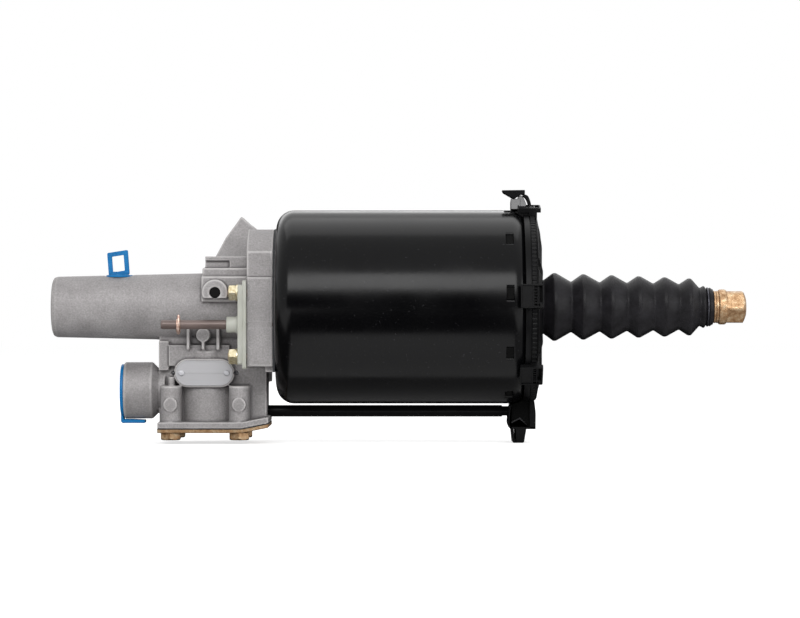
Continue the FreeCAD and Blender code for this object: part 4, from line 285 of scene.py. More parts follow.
def slab(low: float, high: float, edge: float) -> list[tuple[float, float]]:
    """Layers of a plate between two depths, whose edges are eased."""
    return [(low, edge), (low + edge, 0), (high - edge, 0), (high, edge)]


def carried(outline: Array, layers: Sequence[tuple[float, float]], centre: Sequence[float],
            directions: Directions) -> Shell:
    """Carry a flat outline along a direction and pull it in at each layer.

    A layer's point is the outline's point less its inset times the outward normal, set out in
    the three directions from the centre.

    Args:
        outline: The closed outline, (n, 2).
        layers: (depth, inset) of each layer.
        centre: Where the outline's own centre is.
        directions: Those of an outline's two numbers and of the depth.

    Returns:
        The shell, with a flat face at each end.
    """
    run = np.roll(outline, -1, axis=0) - np.roll(outline, 1, axis=0)
    beside = np.roll(outline, -1, axis=0)
    area = np.sum(outline[:, 0] * beside[:, 1] - outline[:, 1] * beside[:, 0])
    normal = np.stack([run[:, 1], -run[:, 0]], axis=1) * np.sign(area)
    normal /= np.linalg.norm(normal, axis=1, keepdims=True)
    depth, inset = np.array(layers, float).T[:, :, None, None]
    return Shell(set_out(outline - inset * normal, depth, centre, directions))


def side_plate(outline: Array, front: float, back: float, edge: float) -> Shell:
    """Carry an outline drawn in X and Z from front to back, with eased edges."""
    return carried(outline, slab(front, back, edge), (0, 0, 0), TO_BACK)


def block(size: Sequence[float], depths: Sequence[float], centre: Sequence[float],
          directions: Directions, edge: float = 0.3) -> Shell:
    """Build a box with eased edges.

    Args:
        size: Its width and height.
        depths: From where to where it goes along the third direction.
        centre: A point that the third direction passes through.
        directions: Those of its width, its height and its depth.
        edge: How far its edges are eased.

    Returns:
        The shell.
    """
    return carried(rectangle(*size, edge, 3), slab(*depths, edge), centre, directions)


def framed(outlines: Sequence[tuple[Array, float]], centre: Sequence[float],
           directions: Directions) -> Shell:
    """Join flat outlines at their depths into one closed ring, as a frame has.

    Args:
        outlines: Each outline, (n, 2), and its depth.
        centre: Where the outlines' own centre is.
        directions: Those of an outline's two numbers and of the depth.

    Returns:
        The shell.
    """
    flat = np.stack([outline for outline, _ in outlines])
    depth = np.array([value for _, value in outlines])[:, None, None]
    return Shell(set_out(flat, depth, centre, directions), Ends.JOINED)


def tube(path: Array, radius: float, side: Sequence[float], ends: Ends = Ends.CAPPED,
         steps: int = 20) -> Shell:
    """Carry a circle along a path.

    Each ring stands square to the path: one of its directions is square to the path and to
    side, the other to both.

    Args:
        path: The points of the middle, (n, 3).
        radius: Radius of the circle.
        side: A direction that the path never runs in.
        ends: JOINED where the path is a loop.
        steps: Points on each ring.

    Returns:
        The shell.
    """
    if ends is Ends.JOINED:
        run = np.roll(path, -1, axis=0) - np.roll(path, 1, axis=0)
    else:
        run = np.gradient(path, axis=0)
    run /= np.linalg.norm(run, axis=1, keepdims=True)
    first = np.cross(run, np.array(side, float))
    first /= np.linalg.norm(first, axis=1, keepdims=True)
    second = np.cross(run, first)
    angle = np.linspace(0, FULL_TURN, steps, endpoint=False)[None, :, None]
    off = np.cos(angle) * first[:, None] + np.sin(angle) * second[:, None]
    return Shell(path[:, None] + radius * off, ends)


def pulses(angle: Array, count: int, phase: float, width: float, edge: float) -> Array:
    """Bumps of height 1, evenly spaced round a circle.

    The angle is folded to its distance from the nearest middle; the height is 1 within half
    the width, 0 beyond it by edge, and a smooth step between.

    Args:
        angle: Angles in degrees.
        count: Bumps in a full turn.
        phase: Middle of one of them.
        width: Their width, degrees.
        edge: Width of each slope, degrees.

    Returns:
        Heights, of the shape of angle.
    """
    pitch = 360 / count
    apart = np.abs(np.mod(angle - phase + pitch / 2, pitch) - pitch / 2)
    share = np.clip((width / 2 + edge - apart) / edge, 0, 1)
    return share * share * (3 - 2 * share)


# Finishes


def linear(colour: str) -> Colour:
    """Turn an sRGB colour to the linear values that the shaders take.

    The numbers are those of the sRGB curve, which is straight near black.

    Args:
        colour: The colour as "#rrggbb".

    Returns:
        Red, green, blue and an alpha of 1.
    """
    value = np.array([int(colour[i:i + 2], 16) for i in (1, 3, 5)]) / 255
    value = np.where(value <= 0.04045, value / 12.92, ((value + 0.055) / 1.055) ** 2.4)
    return (*value.tolist(), 1.0)


def add(tree: bpy.types.NodeTree, kind: str, inputs: dict | None = None,
        stops: Sequence[tuple[float, str]] = (), **settings: object) -> bpy.types.Node:
    """Add a node with its settings and links.

    Args:
        tree: Where it goes.
        kind: Its type, without the leading "ShaderNode".
        inputs: What its sockets get, by name or number: a value, or the output to link.
        stops: Places and hex colours of a colour ramp.
        settings: Its properties.

    Returns:
        The node.
    """
    made = tree.nodes.new(f"ShaderNode{kind}")
    for key, value in settings.items():
        setattr(made, key, value)
    for key, value in (inputs or {}).items():
        if isinstance(value, Socket):
            tree.links.new(value, made.inputs[key])
        else:
            made.inputs[key].default_value = value
    for index, (place, colour) in enumerate(stops):
        ramp = made.color_ramp.elements
        stop = ramp[index] if index < 2 else ramp.new(place)
        stop.position = place
        stop.color = linear(colour)
    return made


@dataclass
class Surface:
    """A material that is being made, from noise in the object's own coordinates.

    tree: Its nodes.
    shader: Its shader.
    where: Object coordinates, metres.
    """

    tree: bpy.types.NodeTree
    shader: bpy.types.Node
    where: Socket

    def noise(self, size_mm: float, detail: float = 2.0, roughness: float = 0.5) -> Socket:
        """Add noise.

        Args:
            size_mm: How far apart its features are, about.
            detail: How much finer noise is in it.
            roughness: How strong the finer noise is.

        Returns:
            Its value.
        """
        return add(self.tree, "TexNoise", {
            "Vector": self.where, "Scale": 1 / (size_mm * MM), "Detail": detail,
            "Roughness": roughness,
        }).outputs["Fac"]

    def ramp(self, value: Socket, *stops: tuple[float, str]) -> Socket:
        """Return the colour that a value has between stops of (place, hex colour)."""
        return add(self.tree, "ValToRGB", {"Fac": value}, stops).outputs["Color"]

    def spread(self, value: Socket, low: float, high: float, first: float,
               last: float) -> Socket:
        """Return a value that runs from first to last while the given one runs low to high."""
        return add(self.tree, "MapRange", {"Value": value, "From Min": low, "From Max": high,
                                           "To Min": first, "To Max": last}).outputs["Result"]

    def mixed(self, share: Socket | float, first: Socket, second: Socket | Colour,
              way: str = "MIX") -> Socket:
        """Return the first colour with a share of the second mixed in."""
        return add(self.tree, "Mix", {0: share, 6: first, 7: second}, data_type="RGBA",
                   blend_type=way).outputs[2]

    def relief(self, height: Socket, depth_mm: float) -> None:
        """Tilt the normal by a height.

        Args:
            height: The height, 0 to 1.
            depth_mm: How deep it goes.
        """
        bump = add(self.tree, "Bump", {"Height": height, "Strength": 1.0,
                                       "Distance": depth_mm * MM})
        self.give("Normal", bump.outputs["Normal"])

    def give(self, name: str, value: Socket) -> None:
        """Link a value to one of the shader's sockets."""
        self.tree.links.new(value, self.shader.inputs[name])


@dataclass(frozen=True)
class Finish:
    """A surface finish: its name, the record's slot and its main values."""

    title: str
    slot: str
    colour: str
    roughness: float
    metallic: float = 0.0
    specular: float = 0.5

    def material(self) -> bpy.types.Material:
        """Make the material, or find it if it is made.

        Returns:
            The material.
        """
        found = bpy.data.materials.get(self.title)
        if found:
            return found
        made = bpy.data.materials.new(self.title)
        made.use_nodes = True
        tree = made.node_tree
        tree.nodes.clear()
        shader = add(tree, "BsdfPrincipled", {
            "Base Color": linear(self.colour), "Roughness": self.roughness,
            "Metallic": self.metallic, "Specular IOR Level": self.specular,
        })
        add(tree, "OutputMaterial", {"Surface": shader.outputs["BSDF"]})
        self.dress(Surface(tree, shader, add(tree, "TexCoord").outputs["Object"]))
        return made

    def dress(self, on: Surface) -> None:
        """Add what this finish's surface shows."""
        raise NotImplementedError


@dataclass(frozen=True)
class CastAluminium(Finish):
    """Pressure die-cast aluminium, tumbled: matt, cloudy, finely grained, with a painted highlight
    and wear on its edges and painted shade in its recesses.
    """

    cloud_mm: float = 16.0
    grain_mm: float = 1.1
    grain_depth_mm: float = 0.06
    light: str = "#9f9c9c"
    dark: str = "#8c8989"
    speckle: str = "#dcdcdc"
    # Edge colour: partly edge wear, partly a painted highlight.
    edge: str = "#c2bfbe"
    # Painted shade in recesses.
    recess_shade: str = "#504d4e"
    edge_highlight_share_with_wear: float = 0.6
    recess_shade_share: float = 0.75

    def dress(self, on: Surface) -> None:
        """Clouds of the casting skin, grain drawn coarse enough to show, edges lighter with wear
        and a painted highlight, recesses darker with painted shade.

        Args:
            on: The material that is being made.
        """
        cloud = on.noise(self.cloud_mm, 5.0, 0.62)
        grain = on.noise(self.grain_mm, 2.0, 0.55)
        skin = on.mixed(1.0, on.ramp(cloud, (0.32, self.dark), (0.68, self.light)),
                        on.ramp(grain, (0.3, self.speckle), (0.7, "#ffffff")), "MULTIPLY")
        proud = add(on.tree, "Attribute", attribute_name="proud").outputs["Fac"]
        # Edges lighten with wear and a painted highlight; recesses darken with painted shade.
        edge_highlight_with_wear = on.spread(proud, 0.15, 0.9, 0.0, self.edge_highlight_share_with_wear)
        recess_shade_mask = on.spread(proud, -0.12, -0.9, 0.0, self.recess_shade_share)
        bright = on.mixed(edge_highlight_with_wear, skin, linear(self.edge))
        on.give("Base Color", on.mixed(recess_shade_mask, bright, linear(self.recess_shade)))
        on.give("Roughness", on.spread(cloud, 0.3, 0.7, self.roughness - 0.08,
                                       self.roughness + 0.1))
        on.relief(grain, self.grain_depth_mm)


@dataclass(frozen=True)
class StovedPaint(Finish):
    """Black stoved paint on drawn steel: deep, glossy, with faint peel and a little dust."""

    peel_mm: float = 3.0
    peel_depth_mm: float = 0.012
    marks_mm: float = 1000 / 30
    speck_mm: float = 1.25
    dust: str = "#2a2a2c"

    def dress(self, on: Surface) -> None:
        """Orange peel in the gloss, handling marks in the roughness, dust specks in the colour.

        Args:
            on: The material that is being made.
        """
        specks = on.noise(self.speck_mm, 1.0)
        on.give("Base Color", on.ramp(specks, (0.72, self.colour), (0.8, self.dust)))
        on.give("Roughness", on.spread(on.noise(self.marks_mm, 4.0), 0.35, 0.7,
                                       self.roughness - 0.03, self.roughness + 0.05))
        on.relief(on.noise(self.peel_mm, 1.0), self.peel_depth_mm)


@dataclass(frozen=True)
class Moulded(Finish):
    """Injection-moulded plastic: one colour, fine spark-eroded grain, slight cloudiness."""

    shade: str = "#000000"
    grain_mm: float = 1.0
    grain_depth_mm: float = 0.03
    cloud_mm: float = 18.0
    glow: float = 0.0

    def dress(self, on: Surface) -> None:
        """Two close tones in clouds, mould grain in the normal, light let in where it glows.

        Args:
            on: The material that is being made.
        """
        cloud = on.noise(self.cloud_mm, 3.0)
        on.give("Base Color", on.ramp(cloud, (0.3, self.shade), (0.7, self.colour)))
        on.give("Roughness", on.spread(cloud, 0.3, 0.7, self.roughness - 0.05,
                                       self.roughness + 0.06))
        on.relief(on.noise(self.grain_mm), self.grain_depth_mm)
        if self.glow:
            for name, value in (("Weight", self.glow), ("Scale", 1.0),
                                ("Radius", (2 * MM, 2 * MM, 1.6 * MM))):
                on.shader.inputs[f"Subsurface {name}"].default_value = value


@dataclass(frozen=True)
class Rubber(Finish):
    """Carbon-black rubber: soft sheen, a grey bloom in patches, fine mould texture."""

    bloom: str = "#403f42"
    bloom_mm: float = 9.0
    grain_mm: float = 0.9
    grain_depth_mm: float = 0.05

    def dress(self, on: Surface) -> None:
        """Bloom in the colour, and fine texture in the normal.

        Args:
            on: The material that is being made.
        """
        bloom = on.noise(self.bloom_mm, 6.0, 0.65)
        on.give("Base Color", on.ramp(bloom, (0.35, self.colour), (0.75, self.bloom)))
        on.relief(on.noise(self.grain_mm), self.grain_depth_mm)


@dataclass(frozen=True)
class Plated(Finish):
    """Metal that is plated or passivated: a bright skin whose tint drifts from spot to spot."""

    tint: str = "#ffffff"
    stain: str = "#808080"
    patch_mm: float = 5.0
    dent_mm: float = 1000 / 620
    dent_depth_mm: float = 0.05

    def dress(self, on: Surface) -> None:
        """Three tints in patches, uneven gloss, and small dents of handling and barrel work.

        Args:
            on: The material that is being made.
        """
        patch = on.noise(self.patch_mm, 4.0, 0.6)
        on.give("Base Color", on.ramp(patch, (0.28, self.stain), (0.72, self.tint),
                                      (0.5, self.colour)))
        on.give("Roughness", on.spread(patch, 0.25, 0.75, self.roughness + 0.14,
                                       self.roughness - 0.06))
        on.relief(on.noise(self.dent_mm), self.dent_depth_mm)


@dataclass(frozen=True)
class Brushed(Finish):
    """Rolled and brushed aluminium sheet: straight fine lines along X, a silky light."""

    shade: str = "#b4b4b6"
    line_mm: float = 0.35
    line_length_mm: float = 30.0
    line_depth_mm: float = 0.006

    def dress(self, on: Surface) -> None:
        """Noise drawn out along X gives the brushing, drawn coarser than real so it shows.

        Args:
            on: The material that is being made.
        """
        fine = 1 / (self.line_mm * MM)
        drawn = add(on.tree, "Mapping", {
            "Vector": on.where, "Scale": (1 / (self.line_length_mm * MM), fine, fine),
        }).outputs["Vector"]
        lines = add(on.tree, "TexNoise", {"Vector": drawn, "Scale": 1.0,
                                          "Detail": 3.0}).outputs["Fac"]
        on.give("Base Color", on.ramp(lines, (0.3, self.shade), (0.7, self.colour)))
        on.relief(lines, self.line_depth_mm)


DIE_CAST = CastAluminium("die_cast_aluminium", "die_cast", "#a5a2a1", 0.58, 0.25)
BLACK_PAINT = StovedPaint("black_stoved_paint", "black_paint", "#050506", 0.2, specular=0.17)
BLACK_PLASTIC = Moulded("black_moulded_polyamide", "black_plastic", "#0a0a0b", 0.4,
                        specular=0.11, shade="#070708")
# Lighter copy of the black plastic: real higher gloss, and a lighter tone that is partly a painted
# highlight.
POLISHED_LIT_PLASTIC = Moulded("black_polyamide_polished_and_lit", "black_plastic", "#1a1a1c", 0.26,
                           specular=0.5, shade="#141416", grain_depth_mm=0.006)
# Darker copy of the black plastic, painted shade: window noses, latch pocket floors, the pipe
# socket's back.
SHADED_PLASTIC = Moulded("black_polyamide_in_shade", "black_plastic", "#050505", 0.7,
                         specular=0.08, shade="#030303")
# Painted shadow: a near-black disc deep in the front port stands for the hole's shade.
PORT_SHADE = Moulded("casting_port_painted_shadow", "die_cast", "#151414", 0.8, specular=0.1,
                     shade="#0c0b0b")
PIPE_PLASTIC = Moulded("black_extruded_pipe", "black_plastic", "#0b0b0c", 0.3, specular=0.12,
                       shade="#080809", grain_depth_mm=0.008)
BLACK_RUBBER = Rubber("black_boot_rubber", "black_rubber", "#121113", 0.44, specular=0.15,
                      bloom="#222124")
SEAL_RUBBER = Rubber("black_seal_rubber", "black_rubber", "#161617", 0.4, bloom="#1f1f21")
YELLOW_ZINC = Plated("yellow_passivated_zinc", "yellow_zinc", "#b3926f", 0.44, 0.88,
                     tint="#d2bfa0", stain="#8a6646", patch_mm=3.5)
BRASS_YELLOW = Plated("brass_yellow_zinc", "brass_yellow", "#d9ceac", 0.34, 0.85,
                      tint="#f2ecd9", stain="#b09c72", patch_mm=2.5)
PLAIN_STEEL = Plated("ground_steel", "plain_steel", "#8f8f92", 0.3, 1.0, tint="#a8a8ab",
                     stain="#6e6e72", dent_depth_mm=0.01)
SPRING_STEEL = Plated("oiled_spring_steel", "spring_steel", "#4f4f55", 0.32, 1.0,
                      tint="#66666c", stain="#39393e", dent_depth_mm=0.01)
COPPER = Plated("copper_coloured_ring", "copper_ring", "#d2b2a2", 0.34, 0.85, tint="#f3e6de",
                stain="#ad8069", patch_mm=2.0)
RIVET = Plated("matt_aluminium_rivet", "plate_aluminium", "#b4b4b8", 0.5, 0.6,
               tint="#c6c6ca", stain="#98989c", dent_depth_mm=0.01)
BRONZE = Plated("sintered_bronze", "bronze", "#a8814e", 0.45, 0.9, tint="#bd9a66",
                stain="#7d5d33")
BROWN_ROD = Moulded("brown_anodised_rod", "brown_rod", "#6d5f5b", 0.4, 0.3, shade="#5c504c",
                    grain_depth_mm=0.01)
NYLON = Moulded("natural_nylon", "nylon", "#a8a9a1", 0.45, shade="#9a9b92", glow=0.3,
                grain_depth_mm=0.02)
BLUE_PLASTIC = Moulded("blue_polyethylene", "blue_plastic", "#096da8", 0.42, specular=0.3,
                       shade="#056096", glow=0.15, grain_depth_mm=0.02)
PLATE = Brushed("brushed_name_plate", "plate_aluminium", "#b9b8bb", 0.4, 0.6)
TURNED_ALUMINIUM = Brushed("turned_aluminium", "plate_aluminium", "#a9a9ab", 0.34, 1.0)
GASKET = Moulded("gasket_fibre_sheet", "gasket_paper", "#38393b", 0.8, shade="#2a2b2d",
                 grain_mm=0.7, grain_depth_mm=0.08)


def linked(name: str, data: bpy.types.ID) -> bpy.types.Object:
    """Put a new object in the scene.

    Args:
        name: Its name.
        data: Its mesh, lamp or camera.

    Returns:
        The object.
    """
    made = bpy.data.objects.new(name, data)
    bpy.context.scene.collection.objects.link(made)
    return made


# Sub-assemblies


@dataclass
class Assembly:
    """What every sub-assembly shares.

    origin: The joint face's centre in the part's frame, millimetres.
    body: The body that its pieces ride on.
    """

    origin: Array
    body: str = "housing"

    def metres(self, points: Sequence[Sequence[float]]) -> list[list[float]]:
        """Turn points to the part's frame, in metres."""
        return ((np.array(points) + self.origin) * MM).tolist()

    def solid(self, name: str, shells: Sequence[Shell]) -> bpy.types.Object:
        """Make an object of one or more shells and link it to the scene.

        Args:
            name: Its name.
            shells: Its closed surfaces.

        Returns:
            The object.
        """
        points: list[Array] = []
        faces: list[list[int]] = []
        count = 0
        for shell in shells:
            shell = shell.outward()
            faces += shell.faces(count)
            points.append(shell.rings.reshape(-1, 3))
            count += len(points[-1])
        mesh = bpy.data.meshes.new(name)
        mesh.from_pydata(self.metres(np.vstack(points)), [], faces)
        return linked(name, mesh)

    def piece(self, name: str, shells: Sequence[Shell], finish: Finish,
              stands_for: Sequence[str] = (), crease: float = 38.0) -> bpy.types.Object:
        """Make one piece of one or more shells and put it on its body.

        Args:
            name: The piece's name.
            shells: Its closed surfaces.
            finish: Its finish.
            stands_for: The CAD nodes that it takes the place of.
            crease: The angle from which an edge stays sharp, degrees.

        Returns:
            The object.
        """
        return self.finished(self.solid(name, shells), finish, stands_for, crease)

    def finished(self, made: bpy.types.Object, finish: Finish, stands_for: Sequence[str],
                 crease: float) -> bpy.types.Object:
        """Shade a piece, give it its finish and its body, and report it.

        Args:
            made: The object.
            finish: Its finish.
            stands_for: The CAD nodes that it takes the place of.
            crease: The angle from which an edge stays sharp, degrees.

        Returns:
            The object.
        """
        made.data.shade_smooth()
        made.data.set_sharp_from_angle(angle=np.radians(crease))
        made.data.materials.clear()
        made.data.materials.append(finish.material())
        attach(made, self.body)
        if stands_for:
            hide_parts(*stands_for)
        log.info("%s: %d faces, %s", made.name, len(made.data.polygons), finish.title)
        return made

    def on(self, body: str) -> "Assembly":
        """Return a plain assembly at the same place that rides on another body."""
        return Assembly(self.origin, body)


@dataclass
class CastHousing(Assembly):
    """The die casting: the CAD solid with its edges run soft as a casting's are."""

    voxel: float = 0.62
    smoothing: int = 3
    most_triangles: int = 195000
    proud_rounds: int = 6
    proud_depth: float = 0.17
    port: tuple[float, float, float, float] = (-40.55, -33.6, 9.7, 3.7)
    flange_left: float = -18.9
    flange_right: float = -1.4
    flange_front: float = 41.5
    flange_low: float = -40.0
    flange_step: float = 20.0
    skin_side: float = 0.4
    skin_end: float = 0.6
    skin_sunk: float = 0.04
    skin_depth: float = 0.71
    strip_low: float = -43.8
    trim_depth: float = 12.4
    trimmed: tuple[tuple[float, float, float, float], ...] = (
        (-6.4, -0.4, -53.2, 43.0), (-12.2, 0.0, 45.0, 70.0),
    )
    gasket_radius: float = 53.2
    gasket_front: float = 38.4
    gasket_hole: float = 33.0
    gasket_back: float = 0.6

    def build(self) -> None:
        """Soften the solid, mark its edges and hollows, and take the node's place."""
        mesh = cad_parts["control_housing"].data.copy()
        work = linked("cast_housing", mesh)
        merged = bmesh.new()
        merged.from_mesh(mesh)
        bmesh.ops.remove_doubles(merged, verts=merged.verts, dist=1e-6)
        merged.to_mesh(mesh)
        merged.free()
        self.trim(work)
        self.modified(work, "REMESH", mode="VOXEL", voxel_size=self.voxel * MM)
        self.modified(work, "SMOOTH", factor=0.5, iterations=self.smoothing)
        # The mark drives the casting's painted highlight with wear on edges and painted shade in
        # recesses.
        self.mark_edges_and_recesses(work.data)
        triangles = 2 * len(work.data.polygons)
        self.modified(work, "DECIMATE", ratio=min(1.0, self.most_triangles / triangles))
        self.finished(work, DIE_CAST, ["control_housing"], 60.0)
        self.front_skin()
        self.gasket()

    def trim(self, work: bpy.types.Object) -> None:
        """Cut off two corners below the flange that the photo doesn't show.

        They are the flange's round part and, behind it, the mounting plate's corner.

        Args:
            work: The solid.
        """
        for left, right, front, back in self.trimmed:
            box = self.solid("trim_box", [block(
                (right - left, back - front), (0, self.trim_depth),
                ((left + right) / 2, (front + back) / 2, self.strip_low), DOWNWARDS, 0.01)])
            self.modified(work, "BOOLEAN", operation="DIFFERENCE", object=box)
            bpy.data.objects.remove(box)

    def front_skin(self) -> None:
        """Close the thin wall before the bores in the flange's front, which the remesh opens."""
        left, right = self.flange_left + self.skin_side, self.flange_right - self.skin_side
        low, high = self.flange_low + self.skin_end, self.flange_step - self.skin_end
        front = self.flange_front - self.skin_sunk
        skin = block((right - left, high - low), (front - self.skin_depth, front),
                     ((left + right) / 2, 0, (low + high) / 2), TO_FRONT, 0.1)
        self.piece("flange_front_skin", [skin], DIE_CAST)
        # Painted shadow: a dark disc inside the front port.
        x, y, z, radius = self.port
        line = np.array([(y, ON_AXIS), (y, radius), (y + 1, radius), (y + 1, ON_AXIS)])
        self.piece("front_port_shade", [turned(line, Axis.Y, (x, 0, z), steps=48)], PORT_SHADE)

    def gasket(self) -> None:
        """Gasket between the flange and the can, which follows the flange's outline.

        At each angle the radius is the least of the disc's and the distances to the flat
        sides; below the middle the corners are square down to the strip.
        """
        angle = np.linspace(0, FULL_TURN, 360, endpoint=False)
        across, up = np.abs(np.cos(angle)) + 1e-9, np.abs(np.sin(angle)) + 1e-9
        low_front = (self.flange_front - self.gasket_back) / across
        upper = np.minimum(self.gasket_radius, self.gasket_front / across)
        upper = np.where(low_front * up < self.flange_step, low_front, upper)
        lower = np.minimum(low_front, -self.strip_low / up)
        radius = np.where(np.sin(angle) > 0, upper, lower)
        spokes = np.stack([np.cos(angle), np.sin(angle)], axis=1)
        outer, inner = spokes * radius[:, None], spokes * self.gasket_hole
        sheet = framed([(outer, self.flange_right), (outer, -0.05), (inner, -0.05),
                        (inner, self.flange_right)], (0, 0, 0), TO_RIGHT)
        self.piece("joint_gasket_sheet", [sheet], GASKET, ["joint_gasket"])

    def modified(self, work: bpy.types.Object, kind: str, **settings: object) -> None:
        """Put the result of one modifier into an object's mesh.

        Args:
            work: The object.
            kind: The modifier's type.
            settings: Its properties.
        """
        modifier = work.modifiers.new(kind.lower(), kind)
        for key, value in settings.items():
            setattr(modifier, key, value)
        depsgraph = bpy.context.evaluated_depsgraph_get()
        result = bpy.data.meshes.new_from_object(work.evaluated_get(depsgraph))
        work.modifiers.clear()
        work.data = result

    def mark_edges_and_recesses(self, mesh: bpy.types.Mesh) -> None:
        """Store how proud each point stands, from -1 in a recess to 1 on an edge; the finish turns
        it into painted shade and a painted highlight.

        Each round moves every point to the mean of itself and its neighbours' mean. The mark is the
        way it has come against its normal, over proud_depth.

        Args:
            mesh: The mesh to mark.
        """
        count = len(mesh.vertices)
        first, normal = np.empty((count, 3)), np.empty((count, 3))
        mesh.vertices.foreach_get("co", first.reshape(-1))
        mesh.vertices.foreach_get("normal", normal.reshape(-1))
        ends = np.empty(len(mesh.edges) * 2, int)
        mesh.edges.foreach_get("vertices", ends)
        low, high = ends.reshape(-1, 2).T
        beside = np.maximum(np.bincount(ends, minlength=count), 1)[:, None]
        moved = first.copy()
        for _ in range(self.proud_rounds):
            total = np.stack([np.bincount(low, moved[high, i], count)
                              + np.bincount(high, moved[low, i], count)
                              for i in range(3)], axis=1)
            moved = (moved + total / beside) / 2
        proud = np.sum((first - moved) * normal, axis=1)
        proud = np.clip(proud / (self.proud_depth * MM), -1, 1)
        mark = mesh.attributes.new("proud", "FLOAT", "POINT")
        mark.data.foreach_set("value", proud.astype(np.float32))


@dataclass
class ValveCover(Assembly):
    """Yellow cover plate under the valve body with its four hex bolts, and its gasket."""

    left: float = -79.7
    right: float = -4.7
    bend: float = -23.0
    rise: float = 3.6
    top: float = -82.6
    thickness: float = 2.5
    half_depth: float = 31.0
    valve_x: float = -47.75
    bolt_spread: float = 46.3
    across_flats: float = 13.0
    head_height: float = 5.0
    shank: float = 4.0

    def build(self) -> None:
        """Build the plate and the bolts."""
        low = self.top - self.thickness
        outline = eased([
            (self.left, self.top, 0), (self.left, low, 0.6), (self.bend, low, 3),
            (self.right, low + self.rise, 0.6), (self.right, self.top + self.rise, 0),
            (self.bend, self.top, 3),
        ])
        plate = side_plate(outline, -self.half_depth, self.half_depth, 0.35)
        self.piece("valve_cover_plate_skin", [plate], YELLOW_ZINC, ["valve_cover_plate"])
        head = low - self.head_height
        corner = hexagon_corner(self.across_flats)
        line = eased([
            (low + 1, self.shank, 0), (low, self.shank, 0), (low, corner + 0.3, 0.2),
            (head + 1.4, corner + 0.2, 0.6), (head, corner - 1.5, 0.8), (head, 2.4, 0.4),
            (head + 0.5, 1.2, 0.4), (head + 0.5, ON_AXIS, 0),
        ])
        bolt = hexagon(line, self.across_flats, Axis.Z, corner_at=30.0)
        half = self.bolt_spread / 2
        bolts = [bolt.moved(self.valve_x + x, y) for x in (-half, half) for y in (-half, half)]
        self.piece("cover_bolt_heads", bolts, YELLOW_ZINC, ["cover_bolts"], 25.0)


@dataclass
class NamePlate(Assembly):
    """Bare stadium plate with a raised border, its rivets and the two sealing balls."""

    x: float = -48.6
    z: float = -44.8
    length: float = 38.6
    width: float = 17.0
    pad_front: float = -20.5
    thickness: float = 0.8
    border: float = 0.8
    rivet_spread: float = 30.6
    rivet_head: float = 2.0
    ball_spread: float = 42.6
    ball: float = 1.5
    ball_y: float = -10.3

    def build(self) -> None:
        """Build the plate, rivets and balls."""
        outline = rectangle(self.length, self.width, self.width / 2 - 0.01, 24)
        layers = [(0, 0.05), (self.thickness - 0.15, 0), (self.thickness, 0.15),
                  (self.thickness, self.border), (self.thickness - 0.4, self.border + 0.1),
                  (self.thickness - 0.4, self.border + 0.9)]
        plate = carried(outline, layers, (self.x, self.pad_front, self.z), TO_FRONT)
        self.piece("name_plate_bare", [plate], PLATE, ["name_plate"], 30.0)
        face = self.pad_front - self.thickness
        line = eased([(face + 0.6, ON_AXIS, 0), (face + 0.6, self.rivet_head, 0),
                      (face - 0.7, self.rivet_head, 0.65), (face - 0.7, ON_AXIS, 0)])
        self.pair("plate_rivet_heads", line, self.rivet_spread, RIVET, "plate_rivets")
        angle = np.linspace(0.02, np.pi - 0.02, 17)
        line = np.stack([self.ball_y - self.ball * np.cos(angle), self.ball * np.sin(angle)], 1)
        self.pair("sealing_ball_pair", line, self.ball_spread, PLAIN_STEEL, "sealing_balls")

    def pair(self, name: str, line: Array, spread: float, finish: Finish, node: str) -> None:
        """Turn a line about Y on both sides of the plate's middle.

        Args:
            name: The piece's name.
            line: Places along Y and radii.
            spread: How far apart the two are.
            finish: Their finish.
            node: The CAD node that they stand for.
        """
        shells = [turned(line, Axis.Y, (self.x + side * spread / 2, 0, self.z), steps=32)
                  for side in (-1, 1)]
        self.piece(name, shells, finish, [node])


